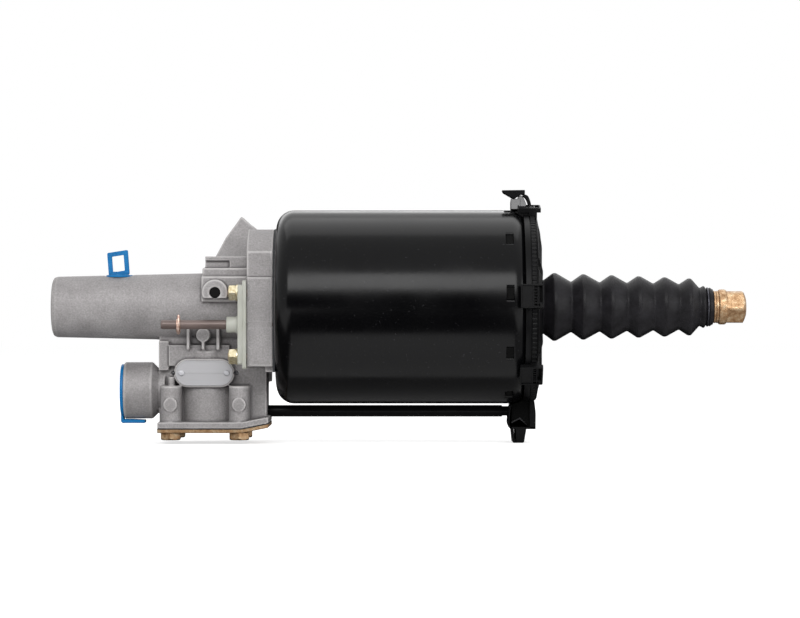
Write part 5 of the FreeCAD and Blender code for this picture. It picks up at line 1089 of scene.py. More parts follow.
@dataclass
class TransitPlugs(Assembly):
    """Blue cap with a pull tab on the supply port, and blue plug with a pull loop."""

    supply_end: float = -104.0
    supply_z: float = -57.0
    supply_radius: float = 19.3
    cap_radius: float = 17.9
    cap_thickness: float = 2.2
    tab_length: float = 16.5
    tab_width: float = 12.0
    tab_thickness: float = 2.6
    feed_x: float = -107.5
    feed_face: float = 20.3
    disc_radius: float = 9.2
    disc_thickness: float = 1.5
    loop_x: float = -108.4
    loop_z: float = 29.6
    loop_width: float = 14.2
    loop_height: float = 16.7
    loop_bar: float = 3.0
    loop_slope: float = 8.8
    loop_lean: float = 4.3

    def build(self) -> None:
        """Build the cap and the plug."""
        self.supply_cap()
        self.feed_plug()

    def supply_cap(self) -> None:
        """Disc with a rolled rim and a raised middle, and the tab that folds under the port."""
        face = self.supply_end - self.cap_thickness
        radius = self.cap_radius
        line = eased([
            (self.supply_end + 12, 9.1, 0), (self.supply_end + 12, 10.9, 0.5),
            (self.supply_end, 10.9, 0.3), (self.supply_end, radius, 0.4),
            (face, radius, 0.9), (face, radius - 2.4, 0.3), (face + 0.7, radius - 2.9, 0.3),
            (face + 0.7, 6.5, 0.4), (face, 6.0, 0.4), (face, ON_AXIS, 0),
        ])
        disc = turned(line, place=(0, 0, self.supply_z))
        top = self.supply_z - self.supply_radius - 0.3
        low = top - self.tab_thickness
        outline = eased([
            (face, self.supply_z - radius + 4, 0), (face, low, 1.6),
            (face + self.tab_length, low, 0.7), (face + self.tab_length, top - 0.4, 0.5),
            (face + 8, top, 3), (face + 1.8, top, 0.4), (face + 1.8, self.supply_z - radius + 4, 0),
        ])
        half = self.tab_width / 2
        tab = side_plate(outline, -half, half, 0.5)
        self.on("supply_cap").piece("supply_cap_blue", [disc, tab], BLUE_PLASTIC,
                                    ["supply_port_cap"])

    def feed_plug(self) -> None:
        """Stepped disc, stem and the square loop that leans to the left."""
        face, top = self.feed_face, self.feed_face + self.disc_thickness
        line = eased([
            (face - 6, ON_AXIS, 0), (face - 6, 4.9, 0.6), (face, 4.9, 0),
            (face, self.disc_radius, 0.3), (top, self.disc_radius, 0.6), (top, 6.4, 0.2),
            (top + 0.6, 6.1, 0.3), (top + 0.6, ON_AXIS, 0),
        ])
        disc = turned(line, Axis.Z, (self.feed_x, 0, 0), steps=64)
        slope, lean = np.radians(self.loop_slope), np.radians(self.loop_lean)
        directions = ((np.cos(slope), 0, np.sin(slope)), (-np.sin(lean), 0, np.cos(lean)),
                      (0, 1, 0))
        width, height, bar = self.loop_width, self.loop_height, self.loop_bar
        outer = rectangle(width, height, 0.9, 5)
        inner = rectangle(width - 2 * bar, height - 2 * bar, 0.5, 5)
        loop = framed([(outer, -1.5), (outer, 1.5), (inner, 1.5), (inner, -1.5)],
                      (self.loop_x, 0, self.loop_z), directions)
        foot = carried(rectangle(self.loop_width - 1.5, 3, 0.4, 4),
                       [(face + 0.5, 0.2), (top + 2.0, 0.2), (top + 2.3, 0.5)],
                       (self.feed_x, 0, 0), TO_TOP)
        self.on("feed_plug").piece("feed_plug_blue", [disc, loop, foot], BLUE_PLASTIC,
                                   ["hydraulic_port_plug"])


@dataclass
class WearIndicator(Assembly):
    """Nylon bracket on the flange, the brown rod that it guides and the rod's friction ring."""

    y: float = -37.5
    z: float = -11.9
    rod: float = 3.1
    left: float = -76.6
    right: float = 4.0
    ring_x: float = -64.8
    ring_wire: float = 0.93
    ring_wings: float = 1.8
    ring_sway: float = 0.35
    ring_points: int = 72
    collar_half: float = 1.3
    flange_left: float = -18.9
    thin: float = 2.8
    thick: float = 3.1
    top: float = 17.9
    low: float = -41.7
    front: float = -46.0
    back: float = -29.5
    step: float = 2.9
    boss: float = 5.4
    boss_left: float = -32.5

    def build(self) -> None:
        """Build the bracket, the rod and the ring."""
        middle = (0, (self.front + self.back) / 2, (self.top + self.low) / 2)
        width, height = self.back - self.front, self.top - self.low
        mid_x = self.flange_left - self.thin
        face = mid_x - self.thick
        thin = carried(rectangle(width, height, 2.2), [
            (self.flange_left, 0.3), (self.flange_left - 0.4, 0), (mid_x + 0.4, 0), (mid_x, 0.4),
        ], middle, TO_RIGHT)
        thick = carried(rectangle(width - 1.6, height - 2 * self.step, 2.0), [
            (mid_x + 1, 0.1), (face + 0.6, 0), (face + 0.15, 0.2), (face, 0.7),
        ], middle, TO_RIGHT)
        place, hole = (0, self.y, self.z), self.rod + 0.15
        boss = turned(eased([
            (face + 1, hole, 0), (face + 1, self.boss + 1.6, 0), (face, self.boss + 1.2, 0.3),
            (face - 1.2, self.boss, 0.8), (self.boss_left, self.boss, 0.7),
            (self.boss_left, hole, 0.3),
        ]), place=place, ends=Ends.JOINED, steps=64)
        self.piece("nylon_bracket", [thin, thick, boss], NYLON, ["indicator_bracket"], 30.0)
        rider = self.on("indicator")
        rod = turned(eased([
            (self.left, ON_AXIS, 0), (self.left, self.rod - 0.2, 0.5),
            (self.left + 1.2, self.rod, 0.3), (self.right, self.rod, 0.5),
            (self.right, ON_AXIS, 0),
        ]), place=place, steps=48)
        rider.piece("brown_rod", [rod], BROWN_ROD, ["indicator_rod"])
        self.ring(rider)

    def ring(self, rider: Assembly) -> None:
        """Round-wire ring with wings, as a push-on retainer has.

        The wire's middle runs round the rod at radius r and sways along the rod twice a turn.

        Args:
            rider: The assembly that rides on the indicator.
        """
        turn = np.linspace(0, FULL_TURN, self.ring_points, endpoint=False)[None, :]
        radius = self.rod + self.ring_wire + self.ring_wings * np.sin(turn) ** 2
        along = self.ring_x + self.ring_sway * np.sin(2 * turn)
        place = (0, self.y, self.z)
        path = rings_about(Axis.X, along, radius, self.ring_points, place)[0]
        wire = tube(path, self.ring_wire, (1, 0, 0), Ends.JOINED, 16)
        left, right = self.ring_x - self.collar_half, self.ring_x + self.collar_half
        inside, outside = self.rod + 0.05, self.rod + 0.8
        collar = turned(eased([(left, inside, 0), (left, outside, 0.3), (right, outside, 0.3),
                               (right, inside, 0)]), place=place, ends=Ends.JOINED, steps=48)
        rider.piece("friction_ring_copper", [wire, collar], COPPER, ["friction_ring"])


@dataclass
class Studs(Assembly):
    """Studs of the air cylinder with their washers and nuts."""

    front: float = -37.5
    back: float = 35.5
    high: float = 9.4
    low: float = -33.4
    radius: float = 3.0
    waist: float = 2.2
    head: float = 3.9
    pitch: float = 1.0
    thread_depth: float = 0.22
    thread_length: float = 12.0
    length: float = 33.5
    can_wall: float = 2.0
    front_seat: float = -24.8
    back_seat: float = -17.0
    washer_radius: float = 5.6
    washer: float = 1.2
    across_flats: float = 10.0
    nut: float = 5.0

    def build(self) -> None:
        """Build one stud, washer and nut and put copies at the four places.

        The thread is a wave along the shank's radius, one to each pitch.
        """
        wall, radius, end = self.can_wall, self.radius, self.can_wall - self.length
        along = np.arange(end + 0.6, end + self.thread_length, self.pitch / 4)
        wave = self.thread_depth * (np.cos(FULL_TURN * along / self.pitch) - 1)
        line = np.vstack([
            [(end, ON_AXIS), (end, radius - 0.6)], np.stack([along, radius + wave], 1),
            [(-4.5, radius), (-4.0, self.waist), (0.5, self.waist), (wall, radius),
             (wall, self.head), (wall + 2.5, self.head - 0.3), (wall + 2.5, ON_AXIS)],
        ])
        shank = turned(line, steps=32)
        face, nut_end = -self.washer, -self.washer - self.nut
        washer = turned(eased([
            (0, radius + 0.3, 0), (0, self.washer_radius, 0.2),
            (face, self.washer_radius, 0.35), (face, radius + 0.3, 0),
        ]), ends=Ends.JOINED, steps=48)
        hole, corner = radius + 0.05, hexagon_corner(self.across_flats)
        nut = hexagon(eased([
            (face, hole, 0), (face, corner - 0.5, 0.3), (face - 0.7, corner, 0.3),
            (nut_end + 0.9, corner, 0.3), (nut_end, corner - 0.9, 0.3),
            (nut_end, radius + 0.6, 0.2), (nut_end + 0.8, hole, 0),
        ]), self.across_flats, ends=Ends.JOINED)
        places = [(seat, y, z) for seat, y in ((self.front_seat, self.front),
                                               (self.back_seat, self.back))
                  for z in (self.high, self.low)]
        self.piece("cylinder_stud_shanks", [shank.moved(0, y, z) for _, y, z in places],
                   YELLOW_ZINC, ["cylinder_studs"])
        self.piece("stud_washer_discs", [washer.moved(*place) for place in places],
                   BRASS_YELLOW, ["stud_washers"])
        self.piece("stud_hex_nuts", [nut.moved(*place) for place in places], BRASS_YELLOW,
                   ["stud_nuts"], 25.0)


@dataclass
class AirCylinder(Assembly):
    """Drawn steel can with rolled ends and the pressed latch windows near its right end."""

    radius: float = 66.0
    wall: float = 2.0
    length: float = 171.0
    round_left: float = 12.0
    round_right: float = 12.0
    hole: float = 20.6
    opening: float = 53.5
    windows: int = 10
    window_phase: float = 8.0
    window_inset: float = 13.5
    window_length: float = 5.0
    window_width: float = 8.5
    window_depth: float = 1.7
    window_side: float = 0.2
    nose_top: float = 65.3
    nose_gap: float = 0.3
    steps: int = 720

    def build(self) -> None:
        """Build the can.

        The outer wall is a turned line with extra rows where the windows are. Each window is a
        rectangular dent with steep sides: its depth times a step along X times one round the
        rim. The noses of the cover's latches stand in them.
        """
        outer = eased([
            (0, self.hole, 0), (0, self.radius, self.round_left),
            (self.length, self.radius, self.round_right), (self.length, self.opening, 0.4),
        ], 12)
        middle, half = self.length - self.window_inset, self.window_length / 2
        rows = middle + np.array([-half - self.window_side, -half, half, half + self.window_side])
        extra = np.stack([rows, np.interp(rows, outer[:, 0], outer[:, 1])], axis=1)
        outer = np.vstack([outer, extra])
        outer = outer[np.argsort(outer[:, 0], kind="stable")]
        deep = self.radius - self.wall
        inner = eased([
            (self.length - self.wall, self.opening, 0), (self.length - self.wall, deep, 10),
            (self.wall, deep, 10), (self.wall, self.hole, 0),
        ], 7)
        line = np.vstack([outer, inner])
        degrees = np.linspace(0, 360, self.steps, endpoint=False)[None, :]
        width = np.degrees(self.window_width / self.radius)
        round_rim = pulses(degrees, self.windows, self.window_phase, width, 0.5)
        along = (np.abs(line[:, :1] - middle) < half + self.window_side / 2).astype(float)
        along[len(outer):] = 0
        radius = line[:, 1:] - self.window_depth * round_rim * along
        rings = rings_about(Axis.X, line[:, :1], radius, self.steps)
        self.piece("painted_can", [Shell(rings, Ends.JOINED)], BLACK_PAINT, ["air_cylinder"], 50.0)
        size = self.window_length - self.nose_gap, self.window_width - self.nose_gap
        depths = self.radius - self.window_depth - 0.1, self.nose_top
        noses = [block(size, depths, (middle, 0, 0),
                       outwards(self.window_phase + index * 360 / self.windows), 0.2)
                 for index in range(self.windows)]
        # The noses take the darker plastic: painted shade inside the windows.
        self.piece("latch_noses", noses, SHADED_PLASTIC)


@dataclass
class EndCover(Assembly):
    """Black moulded cover: louvred rim, ribbed dome, latches, top hook, pipe socket and foot."""

    rim: float = 171.0
    can_radius: float = 66.0
    opening: float = 53.3
    wall: float = 3.0
    skirt: float = 12.0
    lip: float = 3.0
    rise: float = 9.6
    shoulder: float = 52.7
    neck: float = 16.6
    neck_length: float = 8.0
    bore: float = 10.5
    louvres: int = 120
    louvre_width: float = 1.2
    louvre_depth: float = 0.5
    ribs: int = 12
    rib_width: float = 2.4
    rib_height: float = 0.9
    notches: int = 6
    notch_phase: float = 27.0
    notch_width: float = 6.0
    notch_depth: float = 1.8
    latch_angles: tuple[float, ...] = (6.0, 80.0, 130.0, 186.0, 225.0, 318.0)
    latch_width: float = 16.0
    latch_length: float = 15.4
    latch_height: float = 3.4
    lap: float = 3.2
    clip_tilt: float = 14.0
    socket_low: float = -83.2
    steps: int = 720

    def build(self) -> None:
        """Build the cover's pieces."""
        self.body_shell()
        self.latches()
        self.hook()
        self.pipe_socket()

    def body_shell(self) -> None:
        """Turn the cover, with louvres on its rim and ribs and notches on its dome.

        The louvres pull the radius in and the notches pull the face back, each by a depth times
        evenly spaced pulses round the rim.
        """
        rim, top = self.rim, self.rim + self.rise
        edge = self.can_radius - 1
        outer = eased([
            (rim - self.skirt, self.opening - self.wall, 0), (rim - self.skirt, self.opening, 0.4),
            (rim + 0.1, self.opening, 0.2), (rim + 0.1, edge - 1.5, 0.2),
            (rim - self.lap, edge - 1.5, 0.2), (rim - self.lap, edge, 0.5),
            (rim + 0.5, edge, 0.15), (rim + 0.55, edge - 1.0, 0.15), (rim + 1.1, edge - 1.0, 0.15),
            (rim + 1.15, edge, 0.15), (rim + 4.3, edge - 0.2, 0.15), (rim + 4.35, edge - 1.8, 0.2),
            (rim + 5.1, edge - 2.0, 0.2), (rim + 5.2, edge - 1.2, 0.2),
            (rim + 6.0, edge - 2.2, 0.4), (rim + 6.8, edge - 7, 1.5),
            (top - 1.2, self.shoulder - 1, 2),
            (top - 0.5, self.shoulder - 6, 1),
            (top, self.neck + 4, 0.8), (top, self.neck - 1.2, 0.3),
            (top + self.neck_length - 3, self.neck - 1.2, 0.4),
            (top + self.neck_length - 2, self.neck, 0.4),
            (top + self.neck_length, self.neck - 1, 0.5), (top + self.neck_length, self.bore, 0.4),
        ], 4)
        inner = eased([
            (top - 8, self.bore, 0.4), (top - 8, self.neck, 0.3),
            (top - self.wall, self.neck, 0.3), (top - self.wall, self.opening - self.wall, 2),
        ], 4)
        line = np.vstack([outer, inner])
        degrees = np.linspace(0, 360, self.steps, endpoint=False)[None, :]
        along, radius = line[:, :1], line[:, 1:]
        is_outer = (np.arange(len(line)) < len(outer))[:, None]
        louvre_row = is_outer & (along > rim + 1.12) & (along < rim + 4.25) & (radius > edge - 0.5)
        louvre = pulses(degrees, self.louvres, 0, self.louvre_width, 0.5)
        radius = radius - self.louvre_depth * louvre * louvre_row
        rib_row = is_outer & (radius < self.shoulder - 0.5) & (radius > self.neck + 5)
        rib = pulses(degrees, self.ribs, 0, self.rib_width, 0.8)
        notch_row = is_outer & (along > rim + 5.15) & (radius > self.shoulder)
        notch = pulses(degrees, self.notches, self.notch_phase, self.notch_width, 1.0)
        along = along - self.rib_height * (1 - rib) * rib_row
        along = along - self.notch_depth * notch * notch_row
        rings = rings_about(Axis.X, along, radius, self.steps)
        self.piece("cover_body", [Shell(rings, Ends.JOINED)], BLACK_PLASTIC, ["end_cover"], 35.0)

    def latches(self) -> None:
        """Build the latches round the rim.

        Each is a panel with a raised border on its root: plain at the left, and at the right a
        pocket crossed by rungs and a shelf, whose floor is a thin dark sheet of painted shade.
        """
        length, width = self.latch_length, self.latch_width
        right = self.rim + self.lip + 5.6
        base, top = self.can_radius + 0.3, self.can_radius + self.latch_height
        border = [(rectangle(length - less, width - less, corner, 4), depth)
                  for less, corner, depth in ((0, 0.8, base), (0, 0.8, top - 0.3),
                                              (0.6, 0.6, top), (2.0, 0.5, top),
                                              (2.4, 0.4, base))]
        parts = [
            (-10.6, 0, 7.6, width - 2, top - 0.7), (-7.0, 0, 1.0, width - 2, top - 0.2),
            (-4.1, 0, 0.8, width - 2, top - 0.3), (-3.6, -4.6, 6.0, 1.0, top - 0.2),
            (-1.6, -6.0, 2.4, 3.4, top - 0.3),
        ]
        parts += [(-5.6, rung, 2.4, 0.7, top - 0.6) for rung in (-3, -1, 1, 3, 5)]
        shells, pocket_shade_sheets = [], []
        for angle in self.latch_angles:
            directions = outwards(angle)
            shells.append(framed(border, (right - length / 2, 0, 0), directions))
            for x, across, long, wide, high in parts:
                centre = np.array([right + x, 0, 0]) + across * np.array(directions[1])
                shells.append(block((long, wide), (base, high), centre, directions, 0.15))
            shells.append(block((5.6, width), (self.can_radius - 8, self.can_radius + 1),
                                (self.rim + 3.2, 0, 0), directions))
            # Painted shade: a thin dark sheet on each pocket's floor.
            pocket_shade_sheets.append(block((7.4, width - 2), (base, base + 0.4), (right - 4.5, 0, 0),
                                 directions, 0.1))
        self.piece("cover_latches", shells, BLACK_PLASTIC, crease=30.0)
        self.piece("latch_pocket_shade_sheets", pocket_shade_sheets, SHADED_PLASTIC, crease=30.0)

    def plate(self, corners: Sequence[tuple[float, float, float]], half: float,
              middle: float = 0.0) -> Shell:
        """Build a plate across the cover from corners beside its rim.

        Args:
            corners: (from the rim along X, Z, cut) of each corner.
            half: Half its depth.
            middle: Y of its middle.

        Returns:
            The shell.
        """
        outline = eased([(self.rim + x, z, cut) for x, z, cut in corners], 4)
        return side_plate(outline, middle - half, middle + half, 0.3)

    def hook(self) -> None:
        """Build the top hook: a flat wedge on a curved arm and a web, and its clip below."""
        wedge = [(-17.3, 79.6, 0.3), (-1.7, 79.8, 0.5), (-1.7, 76.6, 0.4), (-4.5, 76.7, 0.4),
                 (-9.1, 73.5, 0.6), (-16.5, 77.8, 0.3)]
        arm = [(-2.8, 77.0, 0.3), (0.3, 76.3, 1.5), (2.0, 72.6, 2), (2.8, 68.6, 0), (0.9, 68.6, 0),
               (0.0, 71.8, 2), (-1.4, 74.4, 1), (-3.4, 75.6, 0.3)]
        bar = [(-2.8, 68.6, 0.3), (3.6, 68.6, 0.3), (3.6, 65.4, 0.3), (-2.8, 65.4, 0.3)]
        root = [(-0.4, 66.0, 0.3), (4.6, 66.0, 0.3), (5.4, 58.4, 0.5), (0.3, 58.4, 0.3)]
        cheek = [(-9.8, 64.6, 0.2), (5.3, 64.6, 0.4), (5.6, 58.4, 0.5), (-0.2, 58.6, 1),
                 (-3.6, 60.6, 1)]
        top = [(-4.0, 65.4, 0.2), (5.3, 65.4, 0.3), (5.3, 64.2, 0.2), (-4.0, 64.2, 0.2)]
        shells = [self.plate(wedge, 6.0), self.plate(arm, 5.0), self.plate(bar, 7.0),
                  self.plate(root, 9.0), self.plate(cheek, 1.0, -16.5),
                  self.plate(cheek, 1.0, 16.5), self.plate(top, 17.0)]
        self.piece("cover_hook", shells, BLACK_PLASTIC)
        directions = outwards(self.clip_tilt)
        clip = block((6.6, 7.6), (-10, 1.0), (self.rim - 8.1, -5.0, 70.0), directions)
        web = carried(eased([(-3.0, 4.0, 0.3), (-1.0, 5.2, 0.6), (1.2, 3.0, 1), (2.8, -1.2, 1),
                             (2.8, -3.0, 0.2), (-3.0, -3.0, 0.2)], 4),
                      [(-8, 0), (0.7, 0), (1.0, 0.3)],
                      (self.rim - 3.6, -4.0, 71.2), directions)
        # The clip's lighter plastic is partly a painted highlight.
        self.piece("cover_clip", [clip, web], POLISHED_LIT_PLASTIC, crease=30.0)

    def pipe_socket(self) -> None:
        """Build the pipe's socket, a pocket with ribs across it, and the slit foot below."""
        low = self.socket_low
        back = [(-11.7, -66.4, 0.4), (-12.8, -71.0, 0.5), (-13.4, -79.7, 1), (-11.9, low, 0.6),
                (5.5, low, 0.6), (5.6, -72.0, 2), (4.2, -59.0, 0.5), (-1.6, -61.2, 1),
                (-5.8, -64.8, 1)]
        floor = [(-11.9, low, 0.3), (5.5, low, 0.3), (5.5, low + 1.6, 0.3), (-12.6, low + 1.6, 0.3)]
        left = [(-11.7, -66.4, 0.3), (-12.8, -71.0, 0.5), (-13.4, -79.7, 1), (-11.9, low, 0.3),
                (-10.8, low, 0.2), (-12.2, -79.7, 1), (-11.6, -71.0, 0.5), (-10.5, -66.4, 0.3)]
        right = [(1.4, low, 0.3), (5.5, low, 0.5), (5.6, -72.0, 2), (4.4, -62.0, 0.5),
                 (1.4, -62.0, 0.3)]
        rib = [(-12.9, -80.6, 0.2), (-5.4, -76.6, 0.5), (-0.6, -81.8, 0.2), (0.8, -81.8, 0.2),
               (-5.2, -75.0, 0.6), (-13.1, -79.2, 0.2)]
        leg = [(-10.9, low + 0.5, 0), (-9.9, -92.5, 0.4), (-8.9, -92.5, 0.3), (-9.5, low + 0.5, 0)]
        foot = [(-8.3, low + 0.5, 0), (-7.9, -92.5, 0.3), (-2.4, -92.5, 1.0), (-0.8, low + 0.5, 0)]
        bridge = [(-9.6, -91.3, 0.2), (-7.5, -91.3, 0.2), (-7.5, -92.5, 0.2), (-9.4, -92.5, 0.2)]
        shells = [self.plate(corners, half, middle) for corners, half, middle in (
            (floor, 1.6, -7.6), (left, 1.6, -7.6), (right, 1.6, -7.6), (leg, 16.6, 7.4),
            (foot, 16.6, 7.4), (bridge, 16.6, 7.4))]
        self.piece("pipe_socket_and_foot", shells, BLACK_PLASTIC)
        # The socket's back block is painted shade in the pocket; the rib's lighter plastic is
        # partly a painted highlight.
        self.piece("pipe_socket_back_in_shade", [self.plate(back, 15.2, 8.8)], SHADED_PLASTIC)
        self.piece("pipe_socket_rib", [self.plate(rib, 1.2, -7.4)], POLISHED_LIT_PLASTIC)


@dataclass
class BreatherPipe(Assembly):
    """Black pipe between the valve body and the end cover."""

    radius: float = 4.0
    wall: float = 1.0
    left: float = -17.4
    right: float = 168.1
    waist: float = 154.2
    waist_radius: float = 3.3
    y: float = 12.0
    z: float = -71.4

    def build(self) -> None:
        """Build the pipe."""
        line = eased([
            (self.left, self.radius - self.wall, 0.2), (self.left, self.radius, 0.4),
            (self.waist, self.radius, 0.4), (self.waist, self.waist_radius, 0.2),
            (self.waist + 5, self.waist_radius, 0.2), (self.waist + 5, self.radius, 0.2),
            (self.right, self.radius, 0.4), (self.right, self.radius - self.wall, 0.2),
        ])
        pipe = turned(line, place=(0, self.y, self.z), ends=Ends.JOINED, steps=64)
        self.piece("breather_pipe_black", [pipe], PIPE_PLASTIC, ["breather_pipe"])


@dataclass
class Boot(Assembly):
    """Rubber bellows that stretches from the cover's neck to the push rod."""

    left: float = 181.0
    right: float = 298.0
    wall: float = 1.5
    neck: float = 16.65
    neck_end: float = 189.0
    inner_end: float = 287.0
    rod: float = 7.65
    seat: float = 291.0
    gap: float = 0.05
    wire: float = 0.55
    wire_ring: float = 12.95
    wire_inset: float = 3.9
    peaks: tuple[tuple[float, float], ...] = (
        (189.6, 23.2), (209.4, 22.4), (228.7, 21.7), (247.2, 21.0), (264.9, 20.3), (281.8, 19.5),
    )
    valleys: tuple[tuple[float, float], ...] = (
        (201.0, 17.4), (220.5, 17.0), (239.2, 16.6), (257.2, 16.2), (274.6, 15.7), (288.8, 13.2),
    )

    def build(self) -> None:
        """Build the bellows and its wire ring.

        The outer line runs over each peak and through each valley, rounded at both; the inner
        line is the same one moved in by the wall, and wider at the neck.
        """
        corners = [(self.left, self.neck + 1.6, 0), (self.left + 1.6, self.neck + 2.0, 0.8)]
        for peak, valley in zip(self.peaks, self.valleys):
            corners += [(peak[0] - 1.0, peak[1], 0.8), (peak[0] + 1.0, peak[1], 0.8)]
            corners += [(valley[0] - 0.4, valley[1], 0.6), (valley[0] + 0.4, valley[1], 0.6)]
        tail = [(291.6, 14.6, 0.8), (293.2, 12.4, 0.5), (294.4, 12.4, 0.4), (295.6, 13.4, 0.6),
                (296.9, 12.4, 0.4), (self.right - self.gap, 12.0, 0.3)]
        outer = eased(corners + tail, 6)
        inner = outer[outer[:, 0] < self.inner_end][::-1] - np.array([0, self.wall])
        on_neck = inner[:, 0] < self.neck_end
        inner[:, 1] = np.where(on_neck, np.maximum(inner[:, 1], self.neck), inner[:, 1])
        end = np.array([(self.right - self.gap, self.rod), (self.seat, self.rod)])
        line = np.vstack([outer, end, inner])
        shell = turned(line, ends=Ends.JOINED, steps=128)
        boot = self.piece("rubber_boot", [shell], BLACK_RUBBER, ["boot"], 60.0)
        boot.parent = None
        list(self.metres([(self.left + 1, 0, 0), (self.right - 1, 0, 0)]))
        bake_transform(boot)
        circle = rings_about(Axis.X, np.array([[self.right - self.wire_inset]]),
                             np.array([[self.wire_ring]]), 96)[0]
        wire = tube(circle, self.wire, (1, 0, 0), Ends.JOINED, 12)
        self.on("push_rod").piece("boot_wire", [wire], SPRING_STEEL, ["boot_wire_ring"])


@dataclass
class PushRodTip(Assembly):
    """Thin washers and the yellow nut with its collar on the push rod's end."""

    body: str = "push_rod"
    start: float = 298.0
    washer_pair: float = 3.6
    washer_radius: float = 11.0
    washer_hole: float = 5.3
    collar: float = 12.0
    collar_length: float = 5.0
    across_flats: float = 20.7
    hexagon_length: float = 12.0
    dome: float = 1.8
    thread: float = 5.05

    def build(self) -> None:
        """Build the washers and the nut."""
        half = self.washer_pair / 2
        left, right = self.start + 0.05, self.start + half - 0.05
        washer = turned(eased([
            (left, self.washer_hole, 0), (left, self.washer_radius, 0.5),
            (right, self.washer_radius, 0.5), (right, self.washer_hole, 0),
        ]), ends=Ends.JOINED)
        self.piece("thin_tip_washers", [washer, washer.moved(half)], YELLOW_ZINC,
                   ["tip_washers"])
        left = self.start + self.washer_pair
        corner = hexagon_corner(self.across_flats)
        collar = turned(eased([
            (left, self.thread, 0), (left, self.collar - 0.6, 0.2), (left + 0.7, self.collar, 0.4),
            (left + self.collar_length - 0.6, self.collar, 0.5),
            (left + self.collar_length + 1.6, self.across_flats / 2 - 0.4, 0.6),
            (left + self.collar_length + 2, self.thread, 0),
        ]), ends=Ends.JOINED, steps=144)
        begin = left + self.collar_length
        end = begin + self.hexagon_length
        nut = hexagon(eased([
            (begin - 0.5, self.thread, 0), (begin - 0.5, corner - 1.2, 0.4),
            (begin + 0.8, corner - 0.35, 0.6), (end - 0.7, corner - 0.35, 0.5),
            (end + 0.6, self.across_flats / 2 - 1.1, 1.0),
            (end + self.dome, self.across_flats / 2 - 4.4, 1.0), (end + self.dome, ON_AXIS, 0),
        ]), self.across_flats, corner_at=-6.0)
        self.piece("tip_nut_yellow", [collar, nut], YELLOW_ZINC, ["push_rod_nut"], 25.0)


@dataclass
class InnerPieces(Assembly):
    """Pieces inside: CAD nodes that keep their shape and get their finish, and the springs."""

    turn_points: int = 60

    def build(self) -> None:
        """Dress the nodes and build the springs."""
        finishes = {
            GASKET: ("valve_gasket",),
            SEAL_RUBBER: ("hydraulic_seals", "bush_seal", "rod_seal", "piston_lip_seal",
                          "relay_piston_seal", "inlet_valve", "pipe_seals"),
            PLAIN_STEEL: ("piston_rod", "push_rod", "spring_plate"),
            SPRING_STEEL: ("bush_retaining_ring", "piston_retaining_ring"),
            TURNED_ALUMINIUM: ("air_piston", "relay_piston"),
            BRONZE: ("guide_bush", "valve_seat"),
            NYLON: ("piston_guide_ring",),
        }
        for finish, names in finishes.items():
            for name in names:
                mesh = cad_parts[name].data
                mesh.materials.clear()
                mesh.materials.append(finish.material())
                log.info("%s keeps its shape: %s", name, finish.title)
        self.spring("preload_coil", "preload_spring", "push_rod", wire=2.0, turns=6, run=0)
        self.spring("relay_coil", "relay_spring", "relay", wire=0.8, turns=3, run=2)
        self.spring("inlet_coil", "inlet_spring", "inlet", wire=0.8, turns=3, run=2)

    def spring(self, name: str, node: str, body: str, wire: float, turns: int,
               run: int) -> None:
        """Wind a spring in the box of its node.

        Its wire follows a helix: the place along the axis grows evenly with the angle.

        Args:
            name: Name of the piece.
            node: The CAD node that it stands for.
            body: Not used.
            wire: Radius of the wire, mm.
            turns: Number of turns.
            run: Which coordinate its axis lies on, 0 for X and 2 for Z.
        """
        low, high = (np.array(corner) / MM - self.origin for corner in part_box(node))
        first, second = (run + 1) % 3, (run + 2) % 3
        middle = (low + high) / 2
        radius = (high[first] - low[first]) / 2 - wire
        angle = np.linspace(0, FULL_TURN * turns, self.turn_points * turns)
        path = np.tile(middle, (len(angle), 1))
        path[:, run] = np.interp(angle, [0, angle[-1]], [low[run] + wire, high[run] - wire])
        path[:, first] += radius * np.cos(angle)
        path[:, second] += radius * np.sin(angle)
        coil = self.piece(name, [tube(path, wire, np.eye(3)[run], steps=14)], SPRING_STEEL,
                          [node])
        coil.parent = None
        ends = np.tile(middle, (2, 1))
        ends[:, run] = path[[0, -1], run]
        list(self.metres(ends))
        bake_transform(coil)


# Studio


